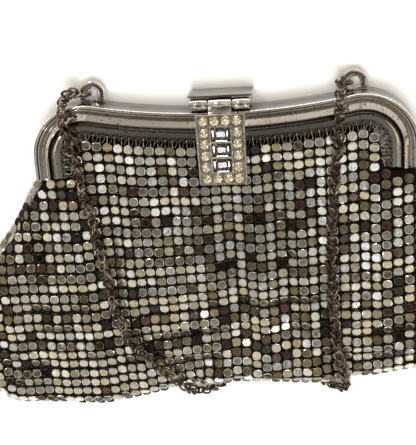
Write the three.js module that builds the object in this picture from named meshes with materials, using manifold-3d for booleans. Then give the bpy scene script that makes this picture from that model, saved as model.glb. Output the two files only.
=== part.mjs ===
// Flat-tile metal mesh evening purse, lying on its back: a two-part hinged frame, a hollow mesh bag laced to
// it, a stone-set flap clasp on a knuckle hinge, and a rope chain from two eyes on the frame's top.
// Millimetres. +X to the purse's right as it faces up, +Y to its top, +Z up. The purse rests on z = 0.
import * as THREE from "three";
import { mergeVertices } from "three/addons/utils/BufferGeometryUtils.js";
import Module from "manifold-3d";

const wasm = await Module();
wasm.setup();

// Driving dimensions
const CLEAR = 0.3; // gap between pieces that touch

const FRAME_DEPTH = 15; // closed frame, over both rails
const BAR_RADIUS = 276; // hollow curve of the top bar
const CORNER_RADIUS = 20.5; // outer radius of the shoulders
const CORNER_X = 53; // centre of each shoulder, from the middle
const ARM_DROP = 8.3; // straight arm below the shoulder
const SHEET = 1.0; // frame metal
const PART_GAP = 0.3; // between the two frame halves where they close

const BEAD_WIDTH = 1.3;
const STRIP_WIDTH = 1.9;
const RAIL_WIDTH = 4.8;
const RAIL_RISE = 1.9; // crown of the rail above the strip
const FLANGE_WIDTH = 4.0;
const FLANGE_SET = 1.0; // flange below the strip
const BEAD_SET = 0.6; // bead below the rail's crown
const BEAD_EDGE = 0.5; // its rounded edges
const SHOULDER_STEPS = 9;
const BAR_STEPS = 5; // each side of the middle

const EAR_RADIUS = 4.2; // hinge ears
const RIVET_RADIUS = 1.3;
const RIVET_HEAD = 2.3;
const RIVET_HEAD_THICK = 0.8;

const LACE_RADIUS = 1.1; // outer radius of the spiral wire
const LACE_FIT = 0.25; // lacing to flange and to mesh
const LACE_STEPS = 32;
const LACE_SIDES = 6;

const MESH_WALL = 1.1; // the mesh with its tiles
const SEAM_HALF = 1.4; // half the doubled edge at the bag's sides and bottom
const SIDE_ROUND = 9; // how far in from its edges the bag fills out
const BAG_DEPTH = 101.5; // from the arms' ends down to the lowest edge
const BAG_LEFT = 107; // reach of the left side from the middle
const BAG_RIGHT = 104;
const BAG_FULL = 10.6; // height of the full bag over what it lies on
const RIPPLE_PITCH = 12.5;
const RIPPLE_HIGH = 0.7;
const CHAIN_LIFT = 5.5; // the bag's back passes over the chain
const CHAIN_LIFT_NEAR = 3.2; // lifted whole this close to the chain, and not at all past the next
const CHAIN_LIFT_FAR = 13;
const FRONT_LIFT = 0.8; // share of it that the front rises
const SEAM_DROP = 22; // below the arms' ends the seam has come down to the surface
const MOUTH_DROP = 0.12; // share of the depth in which the back comes down from the frame
const RIPPLE_RANGE = [0.55, 0.7, 0.9, 1.0]; // shares of the drop: fading in, fading out
const GATHER_FADE = 0.1;
const INSIDE_LEAST = 0.4; // between the two layers' inner faces

const FLAP_TOP_WIDTH = 18.6;
const FLAP_END_WIDTH = 18.0;
const FLAP_LENGTH = 27.2;
const FLAP_SHEET = 1.0;
const FLAP_RIM = 0.55;
const FLAP_RIM_HIGH = 1.1;
const CHANNEL_WALL = 0.6;
const CHANNEL_HIGH = 1.4;
const STONE_WIDTH = 3.5; // round stones
const STONE_HIGH = 1.7;
const STEP_STONE_WIDTH = 6.2;
const STEP_STONE_HIGH = 1.5;
const STONE_ROWS = 6; // down each side of the flap
const STONE_COLUMNS = 4; // across its two ends
const STONE_GAP = 0.2; // round stones to the rim and to the channel
const STONE_SIDE_INSET = 0.45; // side rows stand this much further in

const HINGE_WIDTH = 24.4; // block that the flap turns on
const HINGE_RISE = 2.9; // pin above the bar's outer face
const KNUCKLE_RADIUS = 2.3;
const KNUCKLE_MIDDLE = 8.7; // the flap's own knuckle
const KNUCKLE_GAP = 0.45;
const HINGE_PIN_RADIUS = 0.9;
const COVER_SHEET = 0.9;
const COVER_HIGH = 14;

const LUG_X = 50; // chain eyes, from the middle
const LUG_WIDTH = 10;
const LUG_HIGH = 7.2;
const LUG_THICK = 2.2;
const LUG_HOLE = 2.2; // radius
const LUG_Z = 4.5;
const RING_RADIUS = 2.9;
const RING_WIRE = 0.65;

const CHAIN_RADIUS = 2.4;
const CHAIN_STEPS = 58;
const CHAIN_SIDES = 8;

// The bag's outline. Its upper sides leave the arms' ends: out is a share of the reach beyond the arm,
// down a share of BAG_DEPTH below the arm's end.
const SIDE_SHAPE = [
  { out: 0.0, down: 0.0 },
  { out: 0.3, down: 0.01 },
  { out: 0.42, down: 0.09 },
  { out: 0.5, down: 0.15 },
  { out: 0.58, down: 0.21 },
  { out: 0.75, down: 0.31 },
  { out: 0.88, down: 0.43 },
  { out: 0.96, down: 0.54 },
  { out: 1.0, down: 0.64 },
];
// Its lower edge, from the left side round the bottom to the right: out is a share of the reach on that side.
const LOWER_EDGE = [
  { out: -1.0, down: 0.85 },
  { out: -0.984, down: 0.915 },
  { out: -0.953, down: 0.96 },
  { out: -0.9, down: 0.987 },
  { out: -0.71, down: 0.989 },
  { out: -0.56, down: 0.997 },
  { out: -0.48, down: 0.983 },
  { out: -0.37, down: 0.957 },
  { out: -0.26, down: 0.928 },
  { out: -0.13, down: 0.9 },
  { out: 0.0, down: 0.874 },
  { out: 0.12, down: 0.889 },
  { out: 0.31, down: 0.886 },
  { out: 0.52, down: 0.881 },
  { out: 0.69, down: 0.851 },
  { out: 0.83, down: 0.825 },
  { out: 0.92, down: 0.797 },
  { out: 0.966, down: 0.777 },
  { out: 1.0, down: 0.74 },
];
// Height of the front from the bar down: high is a share of BAG_FULL.
const FULLNESS = [
  { down: 0.0, high: 1.2 },
  { down: 0.08, high: 1.1 },
  { down: 0.25, high: 1.03 },
  { down: 0.5, high: 1.0 },
  { down: 0.75, high: 0.88 },
  { down: 0.9, high: 0.72 },
  { down: 1.0, high: 0.62 },
];
// Gathers running down from the frame: at and lean are shares of the half width, wide and deep in mm,
// from and to shares of the drop.
const GATHERS = [
  { at: -0.66, lean: -0.12, wide: 5.5, deep: 1.3, from: 0.1, to: 0.6 },
  { at: -0.42, lean: -0.05, wide: 5, deep: 1.7, from: 0.0, to: 0.7 },
  { at: -0.22, lean: 0.02, wide: 4.5, deep: 1.3, from: 0.0, to: 0.5 },
  { at: -0.02, lean: 0.08, wide: 4.5, deep: 1.9, from: 0.2, to: 1.0 },
  { at: 0.18, lean: 0.04, wide: 4.5, deep: 2.2, from: 0.05, to: 1.0 },
  { at: 0.31, lean: 0.06, wide: 4.5, deep: 1.7, from: 0.05, to: 0.85 },
  { at: 0.47, lean: 0.03, wide: 5, deep: 1.4, from: 0.0, to: 0.75 },
  { at: 0.68, lean: 0.1, wide: 6, deep: 1.5, from: 0.1, to: 0.8 },
];

// The chain's route as it lies, from the left eye round to the right one.
const CHAIN_ROUTE = [
  [-54.9, 8.9, 8.5],
  [-56.4, 9.3, 11.4],
  [-58.4, 8.2, 14.6],
  [-59.4, 5.0, 17.2],
  [-59.5, 0.0, 17.7],
  [-59.0, -7.0, 17.0],
  [-57.6, -15.0, 15.4],
  [-56.5, -23.0, 14.4],
  [-55.2, -31.0, 13.9],
  [-53.9, -39.0, 13.8],
  [-52.6, -47.0, 13.4],
  [-51.6, -55.0, 13.2],
  [-50.0, -65.0, 12.7],
  [-48.8, -74.0, 12.3],
  [-47.0, -83.5, 12.8],
  [-43.6, -93.0, 12.3],
  [-38.6, -100.0, 11.5],
  [-31.8, -106.5, 10.9],
  [-26.5, -112.5, 9.9],
  [-22.5, -116.6, 8.2],
  [-18.0, -120.4, 4.8],
  [-12.5, -120.4, 2.5],
  [-7.0, -117.0, 2.4],
  [-2.0, -112.6, 2.4],
  [5.0, -109.2, 2.4],
  [15.0, -108.0, 2.4],
  [25.0, -110.0, 2.4],
  [32.0, -115.2, 2.4],
  [37.5, -119.0, 2.4],
  [42.2, -120.0, 4.4],
  [44.0, -116.0, 8.5],
  [43.0, -110.0, 10.6],
  [41.4, -103.5, 11.4],
  [40.6, -96.0, 11.5],
  [39.9, -88.0, 11.8],
  [39.3, -78.0, 11.9],
  [39.2, -66.0, 12.7],
  [39.3, -54.0, 13.2],
  [40.2, -44.0, 13.6],
  [41.3, -34.0, 13.9],
  [42.2, -25.0, 14.1],
  [43.2, -16.0, 15.1],
  [43.8, -8.0, 17.1],
  [44.3, -1.0, 17.7],
  [44.6, 4.4, 17.3],
  [44.9, 7.6, 14.6],
  [45.0, 8.9, 11.4],
  [45.0, 9.0, 8.5],
];

const HIDDEN_STRETCH = [22, 29]; // its points that lie under the bag

// Worked out from them
const MID_Z = FRAME_DEPTH / 2;
const HALF_DEPTH = FRAME_DEPTH / 2;
const RAIL_CROWN = HALF_DEPTH;
const STRIP_FACE = HALF_DEPTH - RAIL_RISE;
const BEAD_FACE = HALF_DEPTH - BEAD_SET;
const FLANGE_FACE = STRIP_FACE - FLANGE_SET;
const RAIL_IN = BEAD_WIDTH + STRIP_WIDTH;
const FLANGE_IN = RAIL_IN + RAIL_WIDTH;
const FLANGE_EDGE = FLANGE_IN + FLANGE_WIDTH;
const LACE_IN = FLANGE_EDGE + LACE_FIT + LACE_RADIUS;
const MESH_IN = LACE_IN + LACE_RADIUS + LACE_FIT;
const CORNER_SWEEP = Math.asin(CORNER_X / (BAR_RADIUS + CORNER_RADIUS));
const CORNER_Y = BAR_RADIUS - (BAR_RADIUS + CORNER_RADIUS) * Math.cos(CORNER_SWEEP);
const ARM_END = CORNER_Y - ARM_DROP;
const FRAME_OUT = CORNER_X + CORNER_RADIUS;
const HINGE_Y = ARM_END + EAR_RADIUS;
const MESH_START = FRAME_OUT - MESH_IN;
const SEAM_Y = ARM_END - 2 * CLEAR;

const METAL = {
  frame: { color: 0xc9c7c2, roughness: 0.18, metalness: 1.0 },
  mesh: { color: 0xc4bba6, roughness: 0.3, metalness: 1.0 },
  gilt: { color: 0xc9a75c, roughness: 0.32, metalness: 1.0 },
  chain: { color: 0x5a4a3c, roughness: 0.4, metalness: 1.0 },
};
const GLASS = { color: 0xf2f1ea, roughness: 0.04, metalness: 0.0 };

// Turns a geometry into a solid for a cut or a join.
function solidOf(geometry) {
  const plain = geometry.clone();
  plain.deleteAttribute("normal");
  plain.deleteAttribute("uv");
  const merged = mergeVertices(plain, 1e-4);
  return new wasm.Manifold(
    new wasm.Mesh({
      numProp: 3,
      vertProperties: merged.attributes.position.array,
      triVerts: new Uint32Array(merged.index.array),
    }),
  );
}

function geometryOf(solid) {
  const mesh = solid.getMesh();
  const geometry = new THREE.BufferGeometry();
  geometry.setAttribute("position", new THREE.BufferAttribute(mesh.vertProperties, 3));
  geometry.setIndex(new THREE.BufferAttribute(mesh.triVerts, 1));
  return geometry;
}

function join(first, ...others) {
  return geometryOf(others.reduce((sum, next) => sum.add(solidOf(next)), solidOf(first)));
}

function cut(first, ...tools) {
  return geometryOf(tools.reduce((rest, next) => rest.subtract(solidOf(next)), solidOf(first)));
}

function piece(name, geometry, finish) {
  const mesh = new THREE.Mesh(geometry, new THREE.MeshStandardMaterial(finish));
  mesh.name = name;
  return mesh;
}

function box(x0, x1, y0, y1, z0, z1) {
  return new THREE.BoxGeometry(x1 - x0, y1 - y0, z1 - z0).translate(
    (x0 + x1) / 2,
    (y0 + y1) / 2,
    (z0 + z1) / 2,
  );
}

// A round bar along X from x0 to x1.
function barX(x0, x1, y, z, radius, sides = 20) {
  return new THREE.CylinderGeometry(radius, radius, x1 - x0, sides)
    .rotateZ(Math.PI / 2)
    .translate((x0 + x1) / 2, y, z);
}

// Value of a table's column where another column reaches a share, with straight runs between its rows.
function tableAt(rows, key, share, column) {
  const next = rows.findIndex((row) => row[key] >= share);
  if (next === 0) return rows[0][column];
  if (next < 0) return rows[rows.length - 1][column];
  const before = rows[next - 1];
  const after = rows[next];
  const part = (share - before[key]) / (after[key] - before[key]);
  return before[column] + part * (after[column] - before[column]);
}

function smoothStep(low, high, value) {
  const share = Math.min(1, Math.max(0, (value - low) / (high - low)));
  return share * share * (3 - 2 * share);
}

// The frame's outline, inset from its outer edge: two arms, two shoulders and the hollow top bar.
// along runs from 0 at the left arm's end to 1 at the right one's.
class FrameOutline extends THREE.Curve {
  constructor(inset, height) {
    super();
    this.inset = inset;
    this.height = height;
    this.arm = ARM_DROP;
    this.shoulder = (CORNER_RADIUS - inset) * (Math.PI / 2 + CORNER_SWEEP);
    this.bar = (BAR_RADIUS + inset) * CORNER_SWEEP;
    this.half = this.arm + this.shoulder + this.bar;
  }

  getPoint(along, target = new THREE.Vector3()) {
    const side = along < 0.5 ? -1 : 1;
    const fromMiddle = Math.abs(along - 0.5) * 2 * this.half;
    const radius = CORNER_RADIUS - this.inset;
    let x;
    let y;
    if (fromMiddle < this.bar) {
      const turn = fromMiddle / (BAR_RADIUS + this.inset);
      x = (BAR_RADIUS + this.inset) * Math.sin(turn);
      y = BAR_RADIUS - (BAR_RADIUS + this.inset) * Math.cos(turn);
    } else if (fromMiddle < this.bar + this.shoulder) {
      const turn = Math.PI / 2 + CORNER_SWEEP - (fromMiddle - this.bar) / radius;
      x = CORNER_X + radius * Math.cos(turn);
      y = CORNER_Y + radius * Math.sin(turn);
    } else {
      x = CORNER_X + radius;
      y = CORNER_Y - (fromMiddle - this.bar - this.shoulder);
    }
    return target.set(side * x, y, this.height);
  }
}

// Stations along the outline: few on the bar, closer round the shoulders.
function outlineStations() {
  const outline = new FrameOutline(0, 0);
  const arm = outline.arm / (2 * outline.half);
  const shoulder = outline.shoulder / (2 * outline.half);
  const stations = [0];
  for (let i = 0; i <= SHOULDER_STEPS; i += 1) stations.push(arm + (shoulder * i) / SHOULDER_STEPS);
  for (let i = 1; i < BAR_STEPS; i += 1) {
    stations.push(arm + shoulder + ((0.5 - arm - shoulder) * i) / BAR_STEPS);
  }
  const right = stations.map((along) => 1 - along).reverse();
  return [...stations, 0.5, ...right];
}

// Half-section of the frame: how far in from the outer edge, and how far out from the parting plane.
function frameSection() {
  const inside = PART_GAP / 2;
  const crown = [];
  const steps = 6;
  for (let i = 0; i <= steps; i += 1) {
    const turn = (Math.PI * i) / steps;
    crown.push([
      RAIL_IN + (RAIL_WIDTH * (1 - Math.cos(turn))) / 2,
      STRIP_FACE + (RAIL_CROWN - STRIP_FACE) * Math.sin(turn),
    ]);
  }
  const under = crown
    .filter((_, i) => i % 2 === 1)
    .reverse()
    .map(([across, out]) => [across, out - SHEET]);
  return [
    [0, inside],
    [0, BEAD_FACE - BEAD_EDGE],
    [BEAD_EDGE, BEAD_FACE],
    [BEAD_WIDTH - BEAD_EDGE, BEAD_FACE],
    [BEAD_WIDTH, BEAD_FACE - BEAD_EDGE],
    [BEAD_WIDTH + BEAD_EDGE / 2, STRIP_FACE],
    ...crown,
    [FLANGE_IN, FLANGE_FACE],
    [FLANGE_EDGE, FLANGE_FACE],
    [FLANGE_EDGE, FLANGE_FACE - SHEET],
    [FLANGE_IN - SHEET, FLANGE_FACE - SHEET],
    ...under,
    [RAIL_IN, STRIP_FACE - SHEET],
    [SHEET, STRIP_FACE - SHEET],
    [SHEET, inside],
  ];
}

// One frame half: the section carried along the outline. side is 1 for the front half, -1 for the back.
function frameRail(side) {
  const section = frameSection();
  const stations = outlineStations();
  const positions = [];
  const index = [];
  stations.forEach((along) => {
    section.forEach(([across, out]) => {
      const place = new FrameOutline(across, MID_Z + side * out).getPoint(matchingShare(along, across));
      positions.push(place.x, place.y, place.z);
    });
  });
  const count = section.length;
  for (let i = 0; i < stations.length - 1; i += 1) {
    for (let j = 0; j < count; j += 1) {
      const a = i * count + j;
      const b = i * count + ((j + 1) % count);
      const c = a + count;
      const d = b + count;
      if (side > 0) index.push(a, b, c, b, d, c);
      else index.push(a, c, b, b, c, d);
    }
  }
  const flat = section.map(([across, out]) => new THREE.Vector2(across, out));
  const last = (stations.length - 1) * count;
  THREE.ShapeUtils.triangulateShape(flat, []).forEach(([a, b, c]) => {
    if (side > 0) index.push(a, b, c, last + a, last + c, last + b);
    else index.push(a, c, b, last + a, last + b, last + c);
  });
  const geometry = new THREE.BufferGeometry();
  geometry.setAttribute("position", new THREE.BufferAttribute(new Float32Array(positions), 3));
  geometry.setIndex(index);
  return geometry;
}

// Share along an inset outline that lies square in from the same share of the outer one.
function matchingShare(along, inset) {
  const outer = new FrameOutline(0, 0);
  const inner = new FrameOutline(inset, 0);
  const side = along < 0.5 ? -1 : 1;
  const fromMiddle = Math.abs(along - 0.5) * 2 * outer.half;
  let length;
  if (fromMiddle <= outer.bar) {
    length = (fromMiddle * inner.bar) / outer.bar;
  } else if (fromMiddle <= outer.bar + outer.shoulder) {
    length = inner.bar + ((fromMiddle - outer.bar) * inner.shoulder) / outer.shoulder;
  } else {
    length = inner.bar + inner.shoulder + (fromMiddle - outer.bar - outer.shoulder);
  }
  return 0.5 + (side * length) / (2 * inner.half);
}

// Hinge ears at the arms' ends: the front half's lie outside the back half's.
const FRONT_EAR = { from: FRAME_OUT - SHEET, to: FRAME_OUT };
const BACK_EAR = { from: FRAME_OUT - 2 * SHEET - CLEAR, to: FRAME_OUT - SHEET - CLEAR };

function earDisc(ear, side, grow) {
  const sides = [ear.from - grow, ear.to + grow].map((x) => side * x).sort((a, b) => a - b);
  return barX(sides[0], sides[1], HINGE_Y, MID_Z, EAR_RADIUS + grow, 28);
}

function rivetHole(side) {
  const ends = [side * (BACK_EAR.from - 2), side * (FRONT_EAR.to + 2)].sort((a, b) => a - b);
  return barX(ends[0], ends[1], HINGE_Y, MID_Z, RIVET_RADIUS + CLEAR / 2);
}

// Clears one half's arm for the other half's ear, over the whole width of the arm's wall.
function earRelief(side, from, to) {
  const ends = [side * from, side * to].sort((a, b) => a - b);
  return barX(ends[0], ends[1], HINGE_Y, MID_Z, EAR_RADIUS + CLEAR, 28);
}

function frontFrame() {
  const rail = cut(
    frameRail(1),
    earRelief(-1, BACK_EAR.from - CLEAR, BACK_EAR.to + CLEAR / 2),
    earRelief(1, BACK_EAR.from - CLEAR, BACK_EAR.to + CLEAR / 2),
  );
  const eared = join(rail, earDisc(FRONT_EAR, -1, 0), earDisc(FRONT_EAR, 1, 0));
  return cut(eared, rivetHole(-1), rivetHole(1));
}

// The back half's ears stand on a short step inside its arms, so that they pass inside the front ones.
function backEar(side) {
  const ends = [side * BACK_EAR.from, side * FRAME_OUT].sort((a, b) => a - b);
  const foot = box(
    ends[0],
    ends[1],
    ARM_END,
    ARM_END + 2 * EAR_RADIUS,
    MID_Z - STRIP_FACE + SHEET / 2,
    MID_Z - EAR_RADIUS + SHEET / 2,
  );
  return join(earDisc(BACK_EAR, side, 0), foot);
}

function backFrame() {
  const reach = FRONT_EAR.from - CLEAR / 2;
  const joined = join(frameRail(-1), backEar(-1), backEar(1));
  return cut(
    joined,
    earRelief(-1, reach, FRAME_OUT + 1),
    earRelief(1, reach, FRAME_OUT + 1),
    rivetHole(-1),
    rivetHole(1),
  );
}

function rivet(side) {
  const inner = BACK_EAR.from - CLEAR;
  const outer = FRONT_EAR.to + CLEAR / 2;
  const span = (a, b) => [side * a, side * b].sort((p, q) => p - q);
  const [s0, s1] = span(inner - RIVET_HEAD_THICK / 2, outer + RIVET_HEAD_THICK / 2);
  const [h0, h1] = span(inner - RIVET_HEAD_THICK, inner);
  const [g0, g1] = span(outer, outer + RIVET_HEAD_THICK);
  return join(
    barX(s0, s1, HINGE_Y, MID_Z, RIVET_RADIUS, 12),
    barX(h0, h1, HINGE_Y, MID_Z, RIVET_HEAD, 12),
    barX(g0, g1, HINGE_Y, MID_Z, RIVET_HEAD, 12),
  );
}

// A round cord of the given radius along a curve, closed at both ends.
function cordAlong(curve, radius, sides, steps) {
  const round = new THREE.Shape();
  for (let i = 0; i < sides; i += 1) {
    const turn = (2 * Math.PI * i) / sides;
    const place = [radius * Math.cos(turn), radius * Math.sin(turn)];
    if (i === 0) round.moveTo(...place);
    else round.lineTo(...place);
  }
  return new THREE.ExtrudeGeometry(round, { steps, bevelEnabled: false, extrudePath: curve });
}

function lacing(side) {
  const inset = LACE_IN;
  const height = MID_Z + side * (FLANGE_FACE - SHEET / 2);
  return cordAlong(new FrameOutline(inset, height), LACE_RADIUS, LACE_SIDES, LACE_STEPS);
}

// Upper edge of the bag's plan: along the lacing between the arms, and down the free sides beyond them.
function upperEdge(x) {
  const wide = Math.abs(x);
  const radius = CORNER_RADIUS - MESH_IN;
  if (wide < (BAR_RADIUS + MESH_IN) * Math.sin(CORNER_SWEEP)) {
    return BAR_RADIUS - Math.sqrt((BAR_RADIUS + MESH_IN) ** 2 - x * x);
  }
  if (wide <= MESH_START) return CORNER_Y + Math.sqrt(Math.max(0, radius ** 2 - (wide - CORNER_X) ** 2));
  const reach = x < 0 ? BAG_LEFT : BAG_RIGHT;
  return SEAM_Y - BAG_DEPTH * tableAt(SIDE_SHAPE, "out", (wide - MESH_START) / (reach - MESH_START), "down");
}

function lowerEdge(x) {
  return SEAM_Y - BAG_DEPTH * tableAt(LOWER_EDGE, "out", x / (x < 0 ? BAG_LEFT : BAG_RIGHT), "down");
}

// Distance to the nearest of a run of points, which lie close together.
function distanceTo(points, place) {
  return points.reduce((least, point) => Math.min(least, point.distanceTo(place)), Infinity);
}

// The bag's doubled edges as close points, all but its mouth.
function edgePoints() {
  const points = [];
  const width = BAG_LEFT + BAG_RIGHT;
  for (let i = 0; i <= 200; i += 1) {
    const x = -BAG_LEFT + (width * i) / 200;
    points.push(new THREE.Vector2(x, lowerEdge(x)));
    if (Math.abs(x) > MESH_START) points.push(new THREE.Vector2(x, upperEdge(x)));
  }
  for (let i = 0; i <= 12; i += 1) {
    [-BAG_LEFT, BAG_RIGHT].forEach((x) => {
      points.push(new THREE.Vector2(x, THREE.MathUtils.lerp(upperEdge(x), lowerEdge(x), i / 12)));
    });
  }
  return points;
}

const EDGE_POINTS = edgePoints();
const HIDDEN_CHAIN = new THREE.SplineCurve(
  CHAIN_ROUTE.slice(...HIDDEN_STRETCH).map(([x, y]) => new THREE.Vector2(x, y)),
).getSpacedPoints(40);

// Heights of the bag's two faces at a place of its plan, and of the doubled seam between them.
function bagHeights(place) {
  const drop = (-place.y - MESH_IN) / BAG_DEPTH;
  const near = Math.min(1, distanceTo(EDGE_POINTS, place) / SIDE_ROUND);
  const fill = Math.sqrt(1 - (1 - near) ** 2);
  const seam = MID_Z + (SEAM_HALF - MID_Z) * smoothStep(0, SEAM_DROP, SEAM_Y - place.y);
  const halfWide = (BAG_LEFT + BAG_RIGHT) / 2;
  const gathers = GATHERS.reduce((sum, row) => {
    const middle = (row.at + row.lean * drop) * halfWide;
    const begun = smoothStep(row.from - GATHER_FADE, row.from + GATHER_FADE, drop);
    const left = 1 - smoothStep(row.to - 2 * GATHER_FADE, row.to, drop);
    return sum + row.deep * begun * left * Math.exp(-(((place.x - middle) / row.wide) ** 2));
  }, 0);
  const [rippleFrom, rippleFull, rippleFade, rippleTo] = RIPPLE_RANGE;
  const rippleReach = smoothStep(rippleFrom, rippleFull, drop) * (1 - smoothStep(rippleFade, rippleTo, drop));
  const ripple = RIPPLE_HIGH * rippleReach * Math.cos((2 * Math.PI * place.y) / RIPPLE_PITCH);
  const full = BAG_FULL * tableAt(FULLNESS, "down", drop, "high") - gathers + ripple;
  const hidden = distanceTo(HIDDEN_CHAIN, place);
  const lift = CHAIN_LIFT * (1 - smoothStep(CHAIN_LIFT_NEAR, CHAIN_LIFT_FAR, hidden));
  const mouthRise = (FRAME_DEPTH - BAG_FULL * FULLNESS[0].high) * (1 - smoothStep(0, MOUTH_DROP, drop));
  const front = (seam + SEAM_HALF) * (1 - fill) + full * fill + lift * FRONT_LIFT;
  const back = (seam - SEAM_HALF) * (1 - fill) + mouthRise * fill + lift;
  return { front: Math.max(front, back + 2 * SEAM_HALF), back };
}

// Columns of the bag's plan from left to right: free side, mouth, free side. inset narrows them all.
const SIDE_COLUMNS = 6;
const MOUTH_COLUMNS = 22;
const MOUTH_SPREAD = 1.37; // columns crowd towards the mouth's ends
const BAG_ROWS = 13;
const ROWS_CLOSER = 1.35; // rows crowd towards the bottom edge, where the bag rounds over

function columnPlaces(inset) {
  const mouth = MESH_START - inset;
  const closer = (i) => Math.sin((Math.PI / 2) * (i / (SIDE_COLUMNS - 1)));
  const sideColumn = (reach, i) => mouth + CLEAR + (reach - inset - mouth - CLEAR) * closer(i);
  const spread = (i) => Math.sin(MOUTH_SPREAD * (2 * (i / (MOUTH_COLUMNS - 1)) - 1)) / Math.sin(MOUTH_SPREAD);
  const places = [];
  for (let i = SIDE_COLUMNS - 1; i >= 0; i -= 1) places.push({ x: -sideColumn(BAG_LEFT, i), open: false });
  for (let i = 0; i < MOUTH_COLUMNS; i += 1) places.push({ x: mouth * spread(i), open: true });
  for (let i = 0; i < SIDE_COLUMNS; i += 1) places.push({ x: sideColumn(BAG_RIGHT, i), open: false });
  return places;
}

// One skin of the bag as rows of points, front layer then back layer, inset from the outer faces.
function bagSkin(inset) {
  const trim = inset > 0 ? inset + SEAM_HALF / 2 : 0;
  const points = [];
  [true, false].forEach((isFront) => {
    for (let row = 0; row <= BAG_ROWS; row += 1) {
      columnPlaces(trim).forEach(({ x, open }) => {
        const freeX = Math.sign(x) * Math.max(Math.abs(x), MESH_START + CLEAR);
        const upper = open ? upperEdge(x) : upperEdge(freeX) - trim;
        const share = 1 - (1 - row / BAG_ROWS) ** ROWS_CLOSER;
        const y = THREE.MathUtils.lerp(upper, lowerEdge(x) + trim, share);
        const { front, back } = bagHeights(new THREE.Vector2(x, y));
        points.push(x, y, isFront ? front - inset : Math.min(back + inset, front - inset - INSIDE_LEAST));
      });
    }
  });
  return points;
}

// The hollow bag: an outer and an inner skin, each closed round its sides and bottom, joined by a rim at
// the mouth.
function meshBag() {
  const stride = 2 * SIDE_COLUMNS + MOUTH_COLUMNS;
  const layer = stride * (BAG_ROWS + 1);
  const skin = 2 * layer;
  const positions = [...bagSkin(0), ...bagSkin(MESH_WALL)];
  const index = [];
  const quad = (a, b, c, d) => index.push(a, b, c, a, c, d);
  for (let row = 0; row < BAG_ROWS; row += 1) {
    for (let column = 0; column < stride - 1; column += 1) {
      const a = row * stride + column;
      const below = a + stride;
      quad(a, below, below + 1, a + 1);
      quad(layer + a, layer + a + 1, layer + below + 1, layer + below);
      quad(skin + a, skin + a + 1, skin + below + 1, skin + below);
      quad(skin + layer + a, skin + layer + below, skin + layer + below + 1, skin + layer + a + 1);
    }
  }
  const wall = (a, b) => {
    quad(a, b, layer + b, layer + a);
    quad(skin + b, skin + a, skin + layer + a, skin + layer + b);
  };
  const mouthFrom = SIDE_COLUMNS;
  const mouthTo = SIDE_COLUMNS + MOUTH_COLUMNS - 1;
  for (let column = 0; column < stride - 1; column += 1) {
    if (column >= mouthFrom && column < mouthTo) {
      quad(column, column + 1, skin + column + 1, skin + column);
      quad(layer + column + 1, layer + column, skin + layer + column, skin + layer + column + 1);
    } else {
      wall(column, column + 1);
    }
    const low = BAG_ROWS * stride + column;
    wall(low + 1, low);
  }
  quad(mouthFrom, skin + mouthFrom, skin + layer + mouthFrom, layer + mouthFrom);
  quad(mouthTo, layer + mouthTo, skin + layer + mouthTo, skin + mouthTo);
  for (let row = 0; row < BAG_ROWS; row += 1) {
    const left = row * stride;
    const right = left + stride - 1;
    wall(left + stride, left);
    wall(right, right + stride);
  }
  const geometry = new THREE.BufferGeometry();
  geometry.setAttribute("position", new THREE.BufferAttribute(new Float32Array(positions), 3));
  geometry.setIndex(index);
  return geometry;
}

// The flap lies on the frame's rail. Its pin runs along X above the bar's outer face.
const PIN_Y = HINGE_RISE;
const PIN_Z = FRAME_DEPTH - 2.1;
const FLAP_UNDER = FRAME_DEPTH + CLEAR;
const FLAP_BED = FLAP_UNDER + FLAP_SHEET;
const FLAP_TOP_Y = -0.1;
const KNUCKLE_SPAN = KNUCKLE_MIDDLE / 2;

function flapOutline(grow, z, high) {
  const outline = new THREE.Shape();
  const top = FLAP_TOP_WIDTH / 2 + grow;
  const end = FLAP_END_WIDTH / 2 + grow;
  const low = FLAP_TOP_Y - FLAP_LENGTH - grow;
  const high_y = FLAP_TOP_Y + grow;
  outline.moveTo(-top, high_y);
  outline.lineTo(-end, low);
  outline.lineTo(end, low);
  outline.lineTo(top, high_y);
  outline.closePath();
  return new THREE.ExtrudeGeometry(outline, { depth: high, bevelEnabled: false }).translate(0, 0, z);
}

const STONE_MARGIN = FLAP_RIM + STONE_GAP + STONE_WIDTH / 2;
const FIRST_ROW_Y = FLAP_TOP_Y - STONE_MARGIN;
const LAST_ROW_Y = FLAP_TOP_Y - FLAP_LENGTH + STONE_MARGIN;
const CHANNEL_TOP = FIRST_ROW_Y - STONE_WIDTH / 2 - STONE_GAP;
const CHANNEL_END = LAST_ROW_Y + STONE_WIDTH / 2 + STONE_GAP;

// Half the distance between the two side rows of stones at a height on the flap.
function stoneReach(y) {
  const share = (FLAP_TOP_Y - y) / FLAP_LENGTH;
  return THREE.MathUtils.lerp(FLAP_TOP_WIDTH, FLAP_END_WIDTH, share) / 2 - STONE_MARGIN - STONE_SIDE_INSET;
}

const CHANNEL_WIDTH = 2 * (stoneReach(LAST_ROW_Y) - STONE_WIDTH / 2 - STONE_GAP);
const STEP_STONES = 3;
const STEP_BAR = 0.7;
const STEP_ROOM = (CHANNEL_TOP - CHANNEL_END - 2 * CHANNEL_WALL - (STEP_STONES - 1) * STEP_BAR) / STEP_STONES;

function stepTop(order) {
  return CHANNEL_TOP - CHANNEL_WALL - order * (STEP_ROOM + STEP_BAR);
}

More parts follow.
